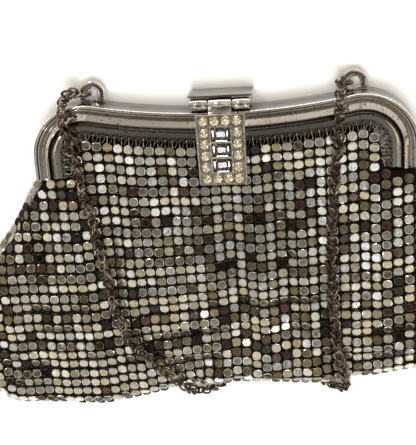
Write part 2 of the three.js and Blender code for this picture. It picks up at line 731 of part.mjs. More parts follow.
// Plate, rim, channel with its bars, and the knuckle with its leaf, as one soldered piece.
function clasp() {
  const rim = cut(
    flapOutline(0, FLAP_UNDER, FLAP_SHEET + FLAP_RIM_HIGH),
    flapOutline(-FLAP_RIM, FLAP_BED, FLAP_RIM_HIGH + 1),
  );
  const half = CHANNEL_WIDTH / 2;
  const inner = half - CHANNEL_WALL;
  const top = FLAP_BED + CHANNEL_HIGH;
  const channel = cut(
    box(-half, half, CHANNEL_END, CHANNEL_TOP, FLAP_BED - 0.2, top),
    ...Array.from({ length: STEP_STONES }, (_, order) =>
      box(-inner, inner, stepTop(order) - STEP_ROOM, stepTop(order), FLAP_BED, top + 1),
    ),
  );
  const knuckle = barX(-KNUCKLE_SPAN, KNUCKLE_SPAN, PIN_Y, PIN_Z, KNUCKLE_RADIUS, 20);
  const leaf = box(-KNUCKLE_SPAN, KNUCKLE_SPAN, FLAP_TOP_Y - 1, PIN_Y, FLAP_UNDER - 0.6, FLAP_UNDER + 0.3);
  const pinHole = barX(-KNUCKLE_SPAN - 1, KNUCKLE_SPAN + 1, PIN_Y, PIN_Z, HINGE_PIN_RADIUS + CLEAR / 2, 16);
  const whole = join(rim, channel, knuckle, leaf);
  return cut(whole, pinHole);
}

// The block on the back half's bar, with a cover plate over its top and the two outer knuckles.
function claspBase() {
  const half = HINGE_WIDTH / 2;
  const coverY = PIN_Y + KNUCKLE_RADIUS + 0.5;
  const barRise = BAR_RADIUS - Math.sqrt(BAR_RADIUS ** 2 - half ** 2);
  const block = box(-half + 1, half - 1, barRise + CLEAR, coverY + 0.2, 1.0, MID_Z + 2.4);
  const cover = box(-half, half, coverY, coverY + COVER_SHEET, 0.6, COVER_HIGH);
  const outer = [-1, 1].map((side) => {
    const ends = [side * (KNUCKLE_SPAN + KNUCKLE_GAP), side * (half - 1)].sort((a, b) => a - b);
    return barX(ends[0], ends[1], PIN_Y, PIN_Z, KNUCKLE_RADIUS, 20);
  });
  const webs = [-1, 1].map((side) => {
    const ends = [side * (KNUCKLE_SPAN + KNUCKLE_GAP), side * (half - 1)].sort((a, b) => a - b);
    return box(ends[0], ends[1], barRise + CLEAR, coverY + 0.2, MID_Z + 2, PIN_Z);
  });
  const pinHole = barX(-half - 1, half + 1, PIN_Y, PIN_Z, HINGE_PIN_RADIUS + CLEAR / 2, 16);
  const swing = barX(
    -KNUCKLE_SPAN - KNUCKLE_GAP,
    KNUCKLE_SPAN + KNUCKLE_GAP,
    PIN_Y,
    PIN_Z,
    KNUCKLE_RADIUS + CLEAR,
    24,
  );
  return cut(join(block, cover, ...webs, ...outer), pinHole, swing);
}

function claspPin() {
  const half = HINGE_WIDTH / 2 - 1;
  return barX(-half, half, PIN_Y, PIN_Z, HINGE_PIN_RADIUS, 12);
}

// A brilliant stone: culet, eight-sided pavilion, girdle, crown and table. Its girdle is at z = 0.
function roundStone() {
  const radius = STONE_WIDTH / 2;
  const profile = [
    new THREE.Vector2(0, -0.62 * STONE_HIGH),
    new THREE.Vector2(radius, -0.08 * STONE_HIGH),
    new THREE.Vector2(radius, 0.04 * STONE_HIGH),
    new THREE.Vector2(0.58 * radius, 0.38 * STONE_HIGH),
    new THREE.Vector2(0, 0.38 * STONE_HIGH),
  ];
  return new THREE.LatheGeometry(profile, 8).rotateX(Math.PI / 2);
}

// A step-cut stone: rectangular girdle, two crown steps and a table, closed by a keel below.
function stepStone(wide, long) {
  const levels = [
    { z: -0.55, shrink: 0.45 },
    { z: -0.05, shrink: 0.0 },
    { z: 0.05, shrink: 0.0 },
    { z: 0.28, shrink: 0.16 },
    { z: 0.45, shrink: 0.34 },
  ];
  const bevel = 0.16;
  const positions = [];
  const index = [];
  levels.forEach(({ z, shrink }) => {
    const halfWide = (wide / 2) * (1 - shrink);
    const halfLong = (long / 2) * (1 - shrink);
    const corner = bevel * long * (1 - shrink);
    [
      [halfWide, -halfLong + corner],
      [halfWide, halfLong - corner],
      [halfWide - corner, halfLong],
      [-halfWide + corner, halfLong],
      [-halfWide, halfLong - corner],
      [-halfWide, -halfLong + corner],
      [-halfWide + corner, -halfLong],
      [halfWide - corner, -halfLong],
    ].forEach(([x, y]) => positions.push(x, y, z * STEP_STONE_HIGH));
  });
  for (let level = 0; level < levels.length - 1; level += 1) {
    for (let side = 0; side < 8; side += 1) {
      const a = level * 8 + side;
      const b = level * 8 + ((side + 1) % 8);
      index.push(a, b, a + 8, b, b + 8, a + 8);
    }
  }
  const top = (levels.length - 1) * 8;
  for (let side = 1; side < 7; side += 1) {
    index.push(0, side + 1, side);
    index.push(top, top + side, top + side + 1);
  }
  const geometry = new THREE.BufferGeometry();
  geometry.setAttribute("position", new THREE.BufferAttribute(new Float32Array(positions), 3));
  geometry.setIndex(index);
  return geometry;
}

// Centres of the round stones, row by row from the flap's top.
function stonePlaces() {
  const places = [];
  for (let row = 0; row < STONE_ROWS; row += 1) {
    const y = THREE.MathUtils.lerp(FIRST_ROW_Y, LAST_ROW_Y, row / (STONE_ROWS - 1));
    const reach = stoneReach(y);
    const across = row === 0 || row === STONE_ROWS - 1 ? STONE_COLUMNS : 2;
    for (let column = 0; column < across; column += 1) {
      places.push([-reach + (2 * reach * column) / (across - 1), y]);
    }
  }
  return places;
}

// Height of the frame's outer edge at a distance from the middle.
function footHeight(x) {
  const onBar = x < BAR_RADIUS * Math.sin(CORNER_SWEEP);
  if (onBar) return BAR_RADIUS - Math.sqrt(BAR_RADIUS ** 2 - x * x);
  return CORNER_Y + Math.sqrt(CORNER_RADIUS ** 2 - (x - CORNER_X) ** 2);
}

const LUG_SEAT = CORNER_Y + CORNER_RADIUS + CLEAR;
const LUG_HOLE_Y = LUG_SEAT + LUG_HIGH - LUG_WIDTH / 2;

function circlePoints(x, y, radius, sides) {
  return Array.from({ length: sides }, (_, i) => {
    const turn = (2 * Math.PI * i) / sides;
    return new THREE.Vector2(x + radius * Math.cos(turn), y + radius * Math.sin(turn));
  });
}

// A chain eye: a flat arched bar with a round hole, standing on the bar of the frame's back half. Its foot
// follows the frame's edge.
function lug(side) {
  const half = LUG_WIDTH / 2;
  const foot = Array.from({ length: 7 }, (_, i) => {
    const x = -half + (LUG_WIDTH * i) / 6;
    return new THREE.Vector2(x, footHeight(LUG_X + side * x) + CLEAR);
  });
  const arch = Array.from({ length: 13 }, (_, i) => {
    const turn = (Math.PI * i) / 12;
    return new THREE.Vector2(half * Math.cos(turn), LUG_HOLE_Y + half * Math.sin(turn));
  });
  const outline = new THREE.Shape([...foot, ...arch]);
  outline.holes.push(new THREE.Path(circlePoints(0, LUG_HOLE_Y, LUG_HOLE, 14).reverse()));
  return new THREE.ExtrudeGeometry(outline, { depth: LUG_THICK, bevelEnabled: false }).translate(
    side * LUG_X,
    0,
    LUG_Z - LUG_THICK / 2,
  );
}

// The ring hangs on the eye's left-hand leg, square to it.
function chainRing(side) {
  const leg = LUG_WIDTH / 2 - (LUG_WIDTH / 2 - LUG_HOLE) / 2;
  return new THREE.TorusGeometry(RING_RADIUS, RING_WIRE, 6, 14)
    .rotateX(Math.PI / 2)
    .translate(side * LUG_X - leg, LUG_HOLE_Y, LUG_Z);
}

function chain() {
  const route = new THREE.CatmullRomCurve3(CHAIN_ROUTE.map(([x, y, z]) => new THREE.Vector3(x, y, z)));
  return cordAlong(route, CHAIN_RADIUS, CHAIN_SIDES, CHAIN_STEPS);
}

const purse = new THREE.Group();
purse.add(
  piece("front_frame", frontFrame(), METAL.frame),
  piece("back_frame", backFrame(), METAL.frame),
  piece("frame_rivet_left", rivet(-1), METAL.frame),
  piece("frame_rivet_right", rivet(1), METAL.frame),
  piece("front_lacing", lacing(1), METAL.frame),
  piece("back_lacing", lacing(-1), METAL.frame),
  piece("mesh_bag", meshBag(), METAL.mesh),
  piece("clasp_base", claspBase(), METAL.frame),
  piece("clasp_pin", claspPin(), METAL.frame),
  piece("clasp_flap", clasp(), METAL.gilt),
  piece("chain_lug_left", lug(-1), METAL.frame),
  piece("chain_lug_right", lug(1), METAL.frame),
  piece("chain_ring_left", chainRing(-1), METAL.chain),
  piece("chain_ring_right", chainRing(1), METAL.chain),
  piece("chain", chain(), METAL.chain),
);

const STONE_SEAT = FLAP_BED + 0.62 * STONE_HIGH + 0.1;
stonePlaces().forEach(([x, y], order) => {
  const stone = piece("stone_round_" + String(order + 1).padStart(2, "0"), roundStone(), GLASS);
  stone.position.set(x, y, STONE_SEAT);
  purse.add(stone);
});
for (let order = 0; order < STEP_STONES; order += 1) {
  const wide = Math.min(STEP_STONE_WIDTH, CHANNEL_WIDTH - 2 * CHANNEL_WALL - 0.3);
  const stone = piece("stone_step_" + (order + 1), stepStone(wide, STEP_ROOM - 0.3), GLASS);
  stone.position.set(0, stepTop(order) - STEP_ROOM / 2, FLAP_BED + 0.55 * STEP_STONE_HIGH + 0.1);
  purse.add(stone);
}

// Origin at the middle of the box that holds it all, on the surface that it rests on.
const bounds = new THREE.Box3().setFromObject(purse);
const part = new THREE.Group();
purse.position.set(-(bounds.min.x + bounds.max.x) / 2, -(bounds.min.y + bounds.max.y) / 2, -bounds.min.z);
part.add(purse);

export default part;
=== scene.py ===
# %% [markdown]
# # A flat-tile metal mesh purse
# The purse lies on its back on a pale table. Its bag is made of more than two thousand small metal tiles on
# rings, laced by a spiral wire to a hinged frame, with a stone-set flap clasp and a rope chain. The packed
# model is the frame that everything here is placed in; the surfaces are worked out with numpy.

# %% Load the frame
import math

import bpy
import numpy as np
from mathutils import Matrix, Vector


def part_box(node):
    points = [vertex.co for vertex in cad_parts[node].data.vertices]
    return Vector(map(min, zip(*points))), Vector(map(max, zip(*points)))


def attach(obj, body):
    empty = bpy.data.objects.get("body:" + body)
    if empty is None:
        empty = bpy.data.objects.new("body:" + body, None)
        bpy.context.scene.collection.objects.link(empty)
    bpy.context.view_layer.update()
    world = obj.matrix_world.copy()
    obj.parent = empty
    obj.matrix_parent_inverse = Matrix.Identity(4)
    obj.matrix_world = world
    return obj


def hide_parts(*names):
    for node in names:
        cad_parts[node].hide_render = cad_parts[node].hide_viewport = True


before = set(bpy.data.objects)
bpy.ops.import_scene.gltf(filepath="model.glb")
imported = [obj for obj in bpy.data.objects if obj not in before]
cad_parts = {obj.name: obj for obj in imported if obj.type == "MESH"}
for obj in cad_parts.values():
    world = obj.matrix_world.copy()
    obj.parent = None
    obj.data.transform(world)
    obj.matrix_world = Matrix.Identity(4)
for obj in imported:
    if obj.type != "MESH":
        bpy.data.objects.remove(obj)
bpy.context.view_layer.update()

# %% [markdown]
# ## Measures
# All shapes are worked out in millimetres from the middle of the top bar's outer edge: x to the right, y to
# the purse's top, z up from the table. The frame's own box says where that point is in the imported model, so
# one sum and one scale put every finished mesh in its place.

# %% The purse's measures
FRAME_DEPTH = 15.0
BAR_RADIUS = 276.0
CORNER_RADIUS = 20.5
CORNER_X = 53.0
ARM_DROP = 8.3
SHEET = 1.0
PART_GAP = 0.3
CLEAR = 0.3

MID_Z = FRAME_DEPTH / 2
SWEEP = math.asin(CORNER_X / (BAR_RADIUS + CORNER_RADIUS))
CORNER_Y = BAR_RADIUS - (BAR_RADIUS + CORNER_RADIUS) * math.cos(SWEEP)
ARM_END = CORNER_Y - ARM_DROP
FRAME_OUT = CORNER_X + CORNER_RADIUS

front_low, front_high = (np.array(corner) * 1000 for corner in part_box("front_frame"))
ORIGIN = np.array([
    (front_low[0] + front_high[0]) / 2,
    front_high[1] - (CORNER_Y + CORNER_RADIUS),
    front_high[2] - FRAME_DEPTH,
])
print("middle of the bar is at", ORIGIN.round(3), "mm of the packed model")


def to_row(points):
    """Millimetres from the bar's middle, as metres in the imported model."""
    return (np.asarray(points, dtype=float) + ORIGIN) * 0.001


# %% [markdown]
# ## Camera
# The photograph looks down on the purse from a little beyond its top edge, turned by a few degrees. Six
# numbers hold that view: where it looks, two tilts, a roll, a distance and the height of the view.

# %% Camera
LOOK_AT = np.array([-8.241, -45.193, 8.0])
TILT_SIDE = math.radians(7.024)
TILT_UP = math.radians(18.354)
ROLL = math.radians(4.056)
DISTANCE = 411.4
VIEW_HEIGHT = math.radians(24.0)

towards = np.array([math.sin(TILT_SIDE), math.sin(TILT_UP), 0.0])
towards[2] = math.sqrt(1 - towards @ towards)
right = np.cross(-towards, (0.0, 1.0, 0.0))
right /= np.linalg.norm(right)
up = np.cross(right, -towards)
rolled_right = math.cos(ROLL) * right - math.sin(ROLL) * up
rolled_up = math.sin(ROLL) * right + math.cos(ROLL) * up

lens = bpy.data.cameras.new("camera")
lens.sensor_fit = "VERTICAL"
lens.angle_y = VIEW_HEIGHT
lens.clip_start = 0.01
lens.clip_end = 20.0
camera = bpy.data.objects.new("camera", lens)
turn = Matrix(np.column_stack([rolled_right, rolled_up, towards]).tolist()).to_4x4()
camera.matrix_world = Matrix.Translation(Vector(to_row(LOOK_AT + DISTANCE * towards))) @ turn
bpy.context.collection.objects.link(camera)
bpy.context.scene.camera = camera
bpy.context.scene.view_settings.view_transform = "Standard"

# %% [markdown]
# ## Surfaces as arrays
# A surface here is a grid of points, worked out whole. Grids are joined into one mesh where they are one
# piece of metal. `add_piece` gives the mesh its material and its body.


# %% Helpers for meshes
def grid_faces(rows, columns, wrap_rows=False, wrap_columns=False, start=0):
    """Quads of a grid of points stored row by row; a wrapped side joins its last line to its first."""
    i = np.arange(rows if wrap_rows else rows - 1)
    j = np.arange(columns if wrap_columns else columns - 1)
    a, b = np.meshgrid(i, j, indexing="ij")
    c, d = (a + 1) % rows, (b + 1) % columns
    quads = np.stack([a * columns + b, c * columns + b, c * columns + d, a * columns + d], axis=-1)
    return quads.reshape(-1, 4) + start


class Shell:
    """Points and faces being gathered into one mesh."""

    def __init__(self):
        self.points = []
        self.faces = []
        self.count = 0

    def add(self, points, faces):
        """Adds points, any shape ending in 3, and faces, an array of indices into them or a list of such."""
        points = np.asarray(points, dtype=float).reshape(-1, 3)
        groups = faces if isinstance(faces, list) else [faces]
        self.points.append(points)
        self.faces += [np.asarray(group, dtype=int) + self.count for group in groups]
        self.count += len(points)
        return self

    def grid(self, points, wrap_rows=False, wrap_columns=False, flip=False):
        """Adds a grid of points of shape (rows, columns, 3)."""
        faces = grid_faces(*points.shape[:2], wrap_rows, wrap_columns)
        return self.add(points, faces[:, ::-1] if flip else faces)

    def copies(self, points, groups, places):
        """Adds the same small shape at many places, each (3, 4): three axes as columns, then the centre."""
        places = np.asarray(places)
        moved = np.einsum("nij,vj->nvi", places[:, :, :3], points) + places[:, None, :, 3]
        steps = (np.arange(len(places)) * len(points))[:, None, None]
        return self.add(moved, [(np.asarray(g)[None] + steps).reshape(-1, np.shape(g)[1]) for g in groups])


def make_mesh(name, points, groups):
    """A mesh from points in millimetres and groups of faces with the same number of corners."""
    mesh = bpy.data.meshes.new(name)
    sizes = np.concatenate([np.full(len(group), group.shape[1]) for group in groups])
    corners = np.concatenate([group.ravel() for group in groups])
    mesh.vertices.add(len(points))
    mesh.vertices.foreach_set("co", to_row(points).ravel())
    mesh.loops.add(len(corners))
    mesh.loops.foreach_set("vertex_index", corners.astype(np.int32))
    mesh.polygons.add(len(sizes))
    mesh.polygons.foreach_set("loop_start", (np.cumsum(sizes) - sizes).astype(np.int32))
    mesh.update(calc_edges=True)
    mesh.validate()
    return mesh


def add_piece(name, shell, material, nodes=(), body="purse", smooth=40.0, tint=None):
    """Makes the piece, hides the CAD nodes that it stands for, and lets it ride on its body."""
    points = np.concatenate(shell.points)
    mesh = make_mesh(name, points, shell.faces)
    mesh.shade_smooth()
    if smooth < 180:
        mesh.set_sharp_from_angle(angle=math.radians(smooth))
    tint = np.ones((len(points), 3)) if tint is None else tint
    layer = mesh.attributes.new("tint", "FLOAT_COLOR", "POINT")
    layer.data.foreach_set("color", np.column_stack([tint, np.ones(len(tint))]).ravel())
    piece = bpy.data.objects.new(name, mesh)
    mesh.materials.append(material)
    bpy.context.collection.objects.link(piece)
    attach(piece, body)
    if nodes:
        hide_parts(*nodes)
    triangles = sum(len(group) * (group.shape[1] - 2) for group in shell.faces)
    print(name, len(points), "points", triangles, "triangles")


def unit(vectors):
    """The same directions with length 1."""
    return vectors / np.linalg.norm(vectors, axis=-1, keepdims=True)


def smooth_step(low, high, value):
    """0 below low, 1 above high, and an S-curve between."""
    share = np.clip((value - low) / (high - low), 0, 1)
    return share * share * (3 - 2 * share)


def even_points(path, count):
    """Points at even distances along a path of close points, with the unit directions there."""
    lengths = np.concatenate([[0], np.cumsum(np.linalg.norm(np.diff(path, axis=0), axis=1))])
    at = np.linspace(0, lengths[-1], count)
    points = np.stack([np.interp(at, lengths, path[:, k]) for k in range(3)], axis=1)
    return points, unit(np.gradient(points, axis=0)), lengths[-1]


def carried_axes(directions):
    """Two axes square to each direction, carried along the path without twist."""
    first = np.zeros_like(directions)
    first[0] = unit(np.cross(directions[0], (0.31, 0.17, 0.93)))
    for k in range(1, len(directions)):
        axis = first[k - 1] - directions[k] * (first[k - 1] @ directions[k])
        first[k] = axis / np.linalg.norm(axis)
    return first, np.cross(directions, first)


def tube(path, radius, sides):
    """A round wire along a path: at each point a circle square to the path's direction."""
    across, over = carried_axes(unit(np.gradient(path, axis=0)))
    turns = np.linspace(0, 2 * np.pi, sides, endpoint=False)
    circle = np.cos(turns)[None, :, None] * across[:, None] + np.sin(turns)[None, :, None] * over[:, None]
    return path[:, None] + radius * circle


def add_wire(shell, path, radius, sides):
    """Adds a wire with flat closed ends."""
    rings = tube(path, radius, sides)
    start = np.arange(sides)[None, ::-1]
    end = start[:, ::-1] + (len(path) - 1) * sides
    shell.add(rings, [grid_faces(len(path), sides, wrap_columns=True)[:, ::-1], start[:, ::-1], end[:, ::-1]])


# %% [markdown]
# ## Light
# Polished metal shows the room more than itself. Tiles that lie flat mirror a grey ceiling, those that tip to
# the purse's foot mirror a pale wall, those that tip to its head a dark one, and some catch a window. So the
# world is a room: a ramp of tones from the foot over the ceiling to the head, with windows at either side,
# all of it stirred a little by noise. A wide lamp overhead only lights the table and the shadows on it; two
# small ones are mirrored as glints.

# %% Room
# Angle from the ceiling in degrees, negative towards the purse's foot, and tone
ROOM_TONES = [
    (-88, (0.55, 0.54, 0.52)),
    (-85, (0.10, 0.09, 0.08)),
    (-80, (0.012, 0.010, 0.009)),
    (-67, (0.030, 0.025, 0.020)),
    (-61, (0.56, 0.50, 0.38)),
    (-41, (0.78, 0.71, 0.56)),
    (-34, (0.46, 0.43, 0.34)),
    (-24, (0.30, 0.29, 0.245)),
    (-15, (0.16, 0.148, 0.120)),
    (-8, (0.085, 0.072, 0.058)),
    (-3, (0.030, 0.019, 0.016)),
    (1, (0.34, 0.30, 0.25)),
    (12, (0.56, 0.50, 0.42)),
    (50, (0.62, 0.56, 0.47)),
    (70, (0.60, 0.54, 0.46)),
    (75, (0.03, 0.026, 0.022)),
    (84, (0.06, 0.055, 0.05)),
    (88, (0.75, 0.74, 0.72)),
]
# How far noise moves an angle, in degrees, and the noise's scale towards the head and to the right
ROOM_STIR = 9.0
STIR_SCALES = (4.3, 5.1)
WINDOW_TONE = (1.2, 1.23, 1.28)
# Angles from the ceiling towards the right: where each window begins, is full, and ends
WINDOWS = [(-39, -35, -29, -26), (15, 18, 25, 29)]
# Between these angles towards the head a window shows: begins, is full, and ends
WINDOW_SPAN = (-50, -42, -8, 0)
# A long lamp low beyond the purse's head draws thin bright lines on every bead and link
STRIP_SPAN = (77, 78, 84, 85)
STRIP_TONE = (7.0, 6.9, 6.7)
# The ceiling is dimmer over the middle: half the width of the dim part, the width of its edge, and tone
DIM_MIDDLE = (-6.5, 3.0, 8.0, 0.42)


def make_room():
    """The world that the metal mirrors: a ramp of tones by direction, with windows and strips."""
    world = bpy.data.worlds.new("room")
    world.use_nodes = True
    bpy.context.scene.world = world
    nodes, links = world.node_tree.nodes, world.node_tree.links

    def node(kind, inputs, output=0, **settings):
        made = nodes.new(kind)
        for key, value in settings.items():
            setattr(made, key, value)
        for socket, value in zip(made.inputs, inputs):
            if isinstance(value, bpy.types.NodeSocket):
                links.new(value, socket)
            elif value is not None:
                socket.default_value = value
        return made.outputs[output]

    def math_node(operation, *values):
        return node("ShaderNodeMath", values, operation=operation)

    def band(value, begin, full, fade, end):
        """1 between full and fade, 0 outside begin and end."""
        rise = node("ShaderNodeMapRange", (value, begin, full, 0.0, 1.0), clamp=True)
        fall = node("ShaderNodeMapRange", (value, fade, end, 1.0, 0.0), clamp=True)
        return math_node("MULTIPLY", rise, fall)

    where = nodes.new("ShaderNodeTexCoord").outputs["Generated"]
    apart = nodes.new("ShaderNodeSeparateXYZ")
    links.new(where, apart.inputs["Vector"])
    to_degrees = 180 / math.pi

    def stirred(axis, scale, amount):
        """Angle from the ceiling towards one axis, moved about by noise."""
        radians = math_node("ARCTAN2", apart.outputs[axis], apart.outputs["Z"])
        angle = math_node("MULTIPLY", radians, to_degrees)
        patches = nodes.new("ShaderNodeTexNoise")
        patches.inputs["Scale"].default_value = scale
        patches.inputs["Detail"].default_value = 2.0
        links.new(where, patches.inputs["Vector"])
        moved = math_node("MULTIPLY", math_node("SUBTRACT", patches.outputs["Fac"], 0.5), 2 * amount)
        return math_node("ADD", angle, moved)

    to_head = stirred("Y", STIR_SCALES[0], ROOM_STIR)
    to_right = stirred("X", STIR_SCALES[1], ROOM_STIR)
    place = node("ShaderNodeMapRange", (to_head, -90.0, 90.0, 0.0, 1.0), clamp=True)
    tones = nodes.new("ShaderNodeValToRGB")
    links.new(place, tones.inputs["Fac"])
    ramp = tones.color_ramp
    while len(ramp.elements) < len(ROOM_TONES):
        ramp.elements.new(0.5)
    for element, (angle, tone) in zip(ramp.elements, ROOM_TONES):
        element.position = (angle + 90) / 180
        element.color = (*tone, 1.0)
    middle, half, edge, dim = DIM_MIDDLE
    shade = band(to_right, middle - half - edge, middle - half, middle + half, middle + half + edge)
    shade = math_node("SUBTRACT", 1.0 + (1 - dim) / 2, math_node("MULTIPLY", shade, 1 - dim))
    ceiling = nodes.new("ShaderNodeVectorMath")
    ceiling.operation = "SCALE"
    links.new(tones.outputs["Color"], ceiling.inputs[0])
    links.new(shade, ceiling.inputs["Scale"])
    window = math_node("ADD", band(to_right, *WINDOWS[0]), band(to_right, *WINDOWS[1]))
    window = math_node("MULTIPLY", window, band(to_head, *WINDOW_SPAN))
    room = ceiling.outputs[0]
    for share, tone in ((window, WINDOW_TONE), (band(to_head, *STRIP_SPAN), STRIP_TONE)):
        lit = nodes.new("ShaderNodeMix")
        lit.data_type = "RGBA"
        links.new(share, lit.inputs["Factor"])
        links.new(room, lit.inputs[6])
        lit.inputs[7].default_value = (*tone, 1.0)
        room = lit.outputs[2]
    ground = nodes["Background"]
    links.new(room, ground.inputs["Color"])
    ground.inputs["Strength"].default_value = 1.0


make_room()

# %% Lamps
LAMPS = [
    # name, place (m from the purse's middle), width m, power W, colour, whether metal mirrors it
    ("lamp_over", (0.03, -0.16, 1.05), 0.55, 11.5, (1.0, 0.995, 0.985), False),
    ("glint_head", (-0.42, 0.66, 0.98), 0.15, 1.6, (1.0, 0.97, 0.93), True),
    ("glint_foot", (0.50, -1.02, 0.62), 0.12, 0.6, (1.0, 0.98, 0.95), True),
]
for name, place, width, power, colour, mirrored in LAMPS:
    lamp = bpy.data.lights.new(name, "AREA")
    lamp.shape = "DISK"
    lamp.size = width
    lamp.energy = power
    lamp.color = colour
    holder = bpy.data.objects.new(name, lamp)
    holder.location = place
    holder.rotation_euler = (-Vector(place)).to_track_quat("-Z", "Y").to_euler()
    holder.visible_glossy = mirrored
    bpy.context.collection.objects.link(holder)

# %% [markdown]
# ## Finishes
# Every material is a surface shader whose colour and roughness come from procedural noise in the object's
# own coordinates, which are metres here: a noise scale of 1000 has features of about a millimetre.


# %% Helper for materials
class Finish:
    """A material being built. Its shader's plain sockets are set once; patterns are linked to it."""

    def __init__(self, name, colour, roughness, metallic=1.0, **sockets):
        self.material = bpy.data.materials.new(name)
        self.material.use_nodes = True
        self.tree = self.material.node_tree
        self.shader = self.tree.nodes["Principled BSDF"]
        plain = {"Base Color": (*colour, 1.0), "Roughness": roughness, "Metallic": metallic, **sockets}
        for socket, value in plain.items():
            self.shader.inputs[socket].default_value = value
        self.place = self.node("ShaderNodeTexCoord").outputs["Object"]

    def node(self, kind, inputs=None, **settings):
        """A node with its settings; an input is a plain value or another node's output."""
        made = self.tree.nodes.new(kind)
        for key, value in settings.items():
            setattr(made, key, value)
        for key, value in (inputs or {}).items():
            if isinstance(value, bpy.types.NodeSocket):
                self.tree.links.new(value, made.inputs[key])
            else:
                made.inputs[key].default_value = value
        return made

    def noise(self, scale, detail=3.0, roughness=0.55, stretch=None):
        """Noise from 0 to 1; stretch squeezes it along an axis into streaks."""
        vector = self.place
        if stretch:
            vector = self.node("ShaderNodeMapping", {"Vector": vector, "Scale": stretch}).outputs["Vector"]
        inputs = {"Vector": vector, "Scale": scale, "Detail": detail, "Roughness": roughness}
        return self.node("ShaderNodeTexNoise", inputs).outputs["Fac"]

    def spread(self, value, low, high, to_low=0.0, to_high=1.0):
        """Carries low..high of a value to to_low..to_high, and holds it there."""
        inputs = {"Value": value, "From Min": low, "From Max": high, "To Min": to_low, "To Max": to_high}
        return self.node("ShaderNodeMapRange", inputs, clamp=True).outputs["Result"]

    def mix(self, share, first, second, blend="MIX"):
        """Mixes two colours, each a plain colour or an output."""
        made = self.node("ShaderNodeMix", {"Factor": share}, data_type="RGBA", blend_type=blend)
        for socket, value in ((made.inputs[6], first), (made.inputs[7], second)):
            if isinstance(value, bpy.types.NodeSocket):
                self.tree.links.new(value, socket)
            else:
                socket.default_value = (*value, 1.0)
        return made.outputs[2]

    def use(self, socket, output):
        self.tree.links.new(output, self.shader.inputs[socket])

    def bump(self, height, strength, distance):
        made = self.node("ShaderNodeBump", {"Height": height, "Strength": strength, "Distance": distance})
        self.use("Normal", made.outputs["Normal"])


# %% Finishes of the metals
def polished_nickel():
    """Worn nickel plate: mirror bright, clouded by handling, with brown specks where the plate has pitted."""
    finish = Finish("polished_nickel", (0.76, 0.74, 0.70), 0.12)
    cloud = finish.noise(70, 4)
    speck = finish.noise(950, 2, 0.7)
    pitted = finish.spread(speck, 0.60, 0.70)
    worn = finish.mix(finish.spread(cloud, 0.35, 0.7), (0.80, 0.77, 0.74), (0.60, 0.55, 0.50))
    # The tint attribute holds painted shade on the frame halves and plain tones on other parts
    painted_shade_and_tone = finish.node("ShaderNodeAttribute", attribute_name="tint").outputs["Color"]
    plated = finish.mix(1.0, finish.mix(pitted, worn, (0.22, 0.15, 0.11)), painted_shade_and_tone, "MULTIPLY")
    finish.use("Base Color", plated)
    finish.use("Roughness", finish.spread(cloud, 0.3, 0.75, 0.05, 0.15))
    finish.bump(finish.noise(600, 4, 0.6, (1.0, 0.25, 1.0)), 0.08, 0.00005)
    return finish.material


def tile_metal():
    """One tile's silver with its own tone, which holds painted shade, brown in the pits and a little cloudy.
    """
    finish = Finish("tile_metal", (0.75, 0.72, 0.66), 0.17)
    tone = finish.node("ShaderNodeAttribute", attribute_name="tint").outputs["Color"]
    pits = finish.noise(1500, 3, 0.7)
    cloud = finish.noise(420, 2)
    pitted = finish.spread(pits, 0.60, 0.72, 0.0, 0.75)
    finish.use("Base Color", finish.mix(pitted, tone, (0.20, 0.14, 0.09)))
    finish.use("Roughness", finish.spread(cloud, 0.3, 0.7, 0.10, 0.30))
    finish.bump(finish.noise(430, 3, 0.5), 0.8, 0.00016)
    return finish.material


def ring_wire():
    """The rings and prongs between the tiles: near black, as painted shade in the gaps, with a little shine
    left.
    """
    finish = Finish("ring_wire", (0.2, 0.16, 0.12), 0.3)
    stain = finish.noise(500, 3)
    share = finish.spread(stain, 0.45, 0.65)
    # Painted shade: the rings' near-black colour stands for the shade between the tiles
    finish.use("Base Color", finish.mix(share, (0.022, 0.016, 0.012), (0.24, 0.20, 0.15)))
    return finish.material


def bright_wire():
    """Drawn wire of the lacing: bright on its back, brown in its hollows."""
    finish = Finish("bright_wire", (0.66, 0.62, 0.54), 0.22)
    stain = finish.noise(500, 3)
    share = finish.spread(stain, 0.40, 0.60)
    finish.use("Base Color", finish.mix(share, (0.62, 0.57, 0.49), (0.20, 0.14, 0.09)))
    finish.use("Roughness", finish.spread(stain, 0.3, 0.7, 0.12, 0.30))
    return finish.material


def tarnished_chain():
    """Brass chain gone dark brown, rubbed a little brighter where the links stand out."""
    finish = Finish("tarnished_chain", (0.16, 0.11, 0.08), 0.17)
    rub = finish.noise(260, 2, 0.5)
    share = finish.spread(rub, 0.45, 0.7)
    finish.use("Base Color", finish.mix(share, (0.085, 0.060, 0.045), (0.42, 0.35, 0.28)))
    finish.use("Roughness", finish.spread(rub, 0.3, 0.7, 0.10, 0.20))
    return finish.material


def worn_gilt():
    """Gold wash over nickel, thin and mottled, paler where it has rubbed through."""
    finish = Finish("worn_gilt", (0.72, 0.64, 0.45), 0.24)
    rub = finish.noise(520, 4, 0.6)
    share = finish.spread(rub, 0.45, 0.68)
    finish.use("Base Color", finish.mix(share, (0.68, 0.61, 0.44), (0.77, 0.75, 0.68)))
    finish.use("Roughness", finish.spread(rub, 0.3, 0.7, 0.16, 0.38))
    finish.bump(finish.noise(1400, 3), 0.4, 0.00008)
    return finish.material


def shaded_web():
    """The web of rings behind the tiles, near black as painted shade."""
    finish = Finish("shaded_web", (0.01, 0.007, 0.006), 0.85, metallic=0.0, **{"Specular IOR Level": 0.1})
    grain = finish.noise(900, 4, 0.7)
    finish.use("Base Color", finish.mix(grain, (0.001, 0.0008, 0.0007), (0.010, 0.007, 0.005)))
    finish.bump(grain, 0.6, 0.0004)
    return finish.material


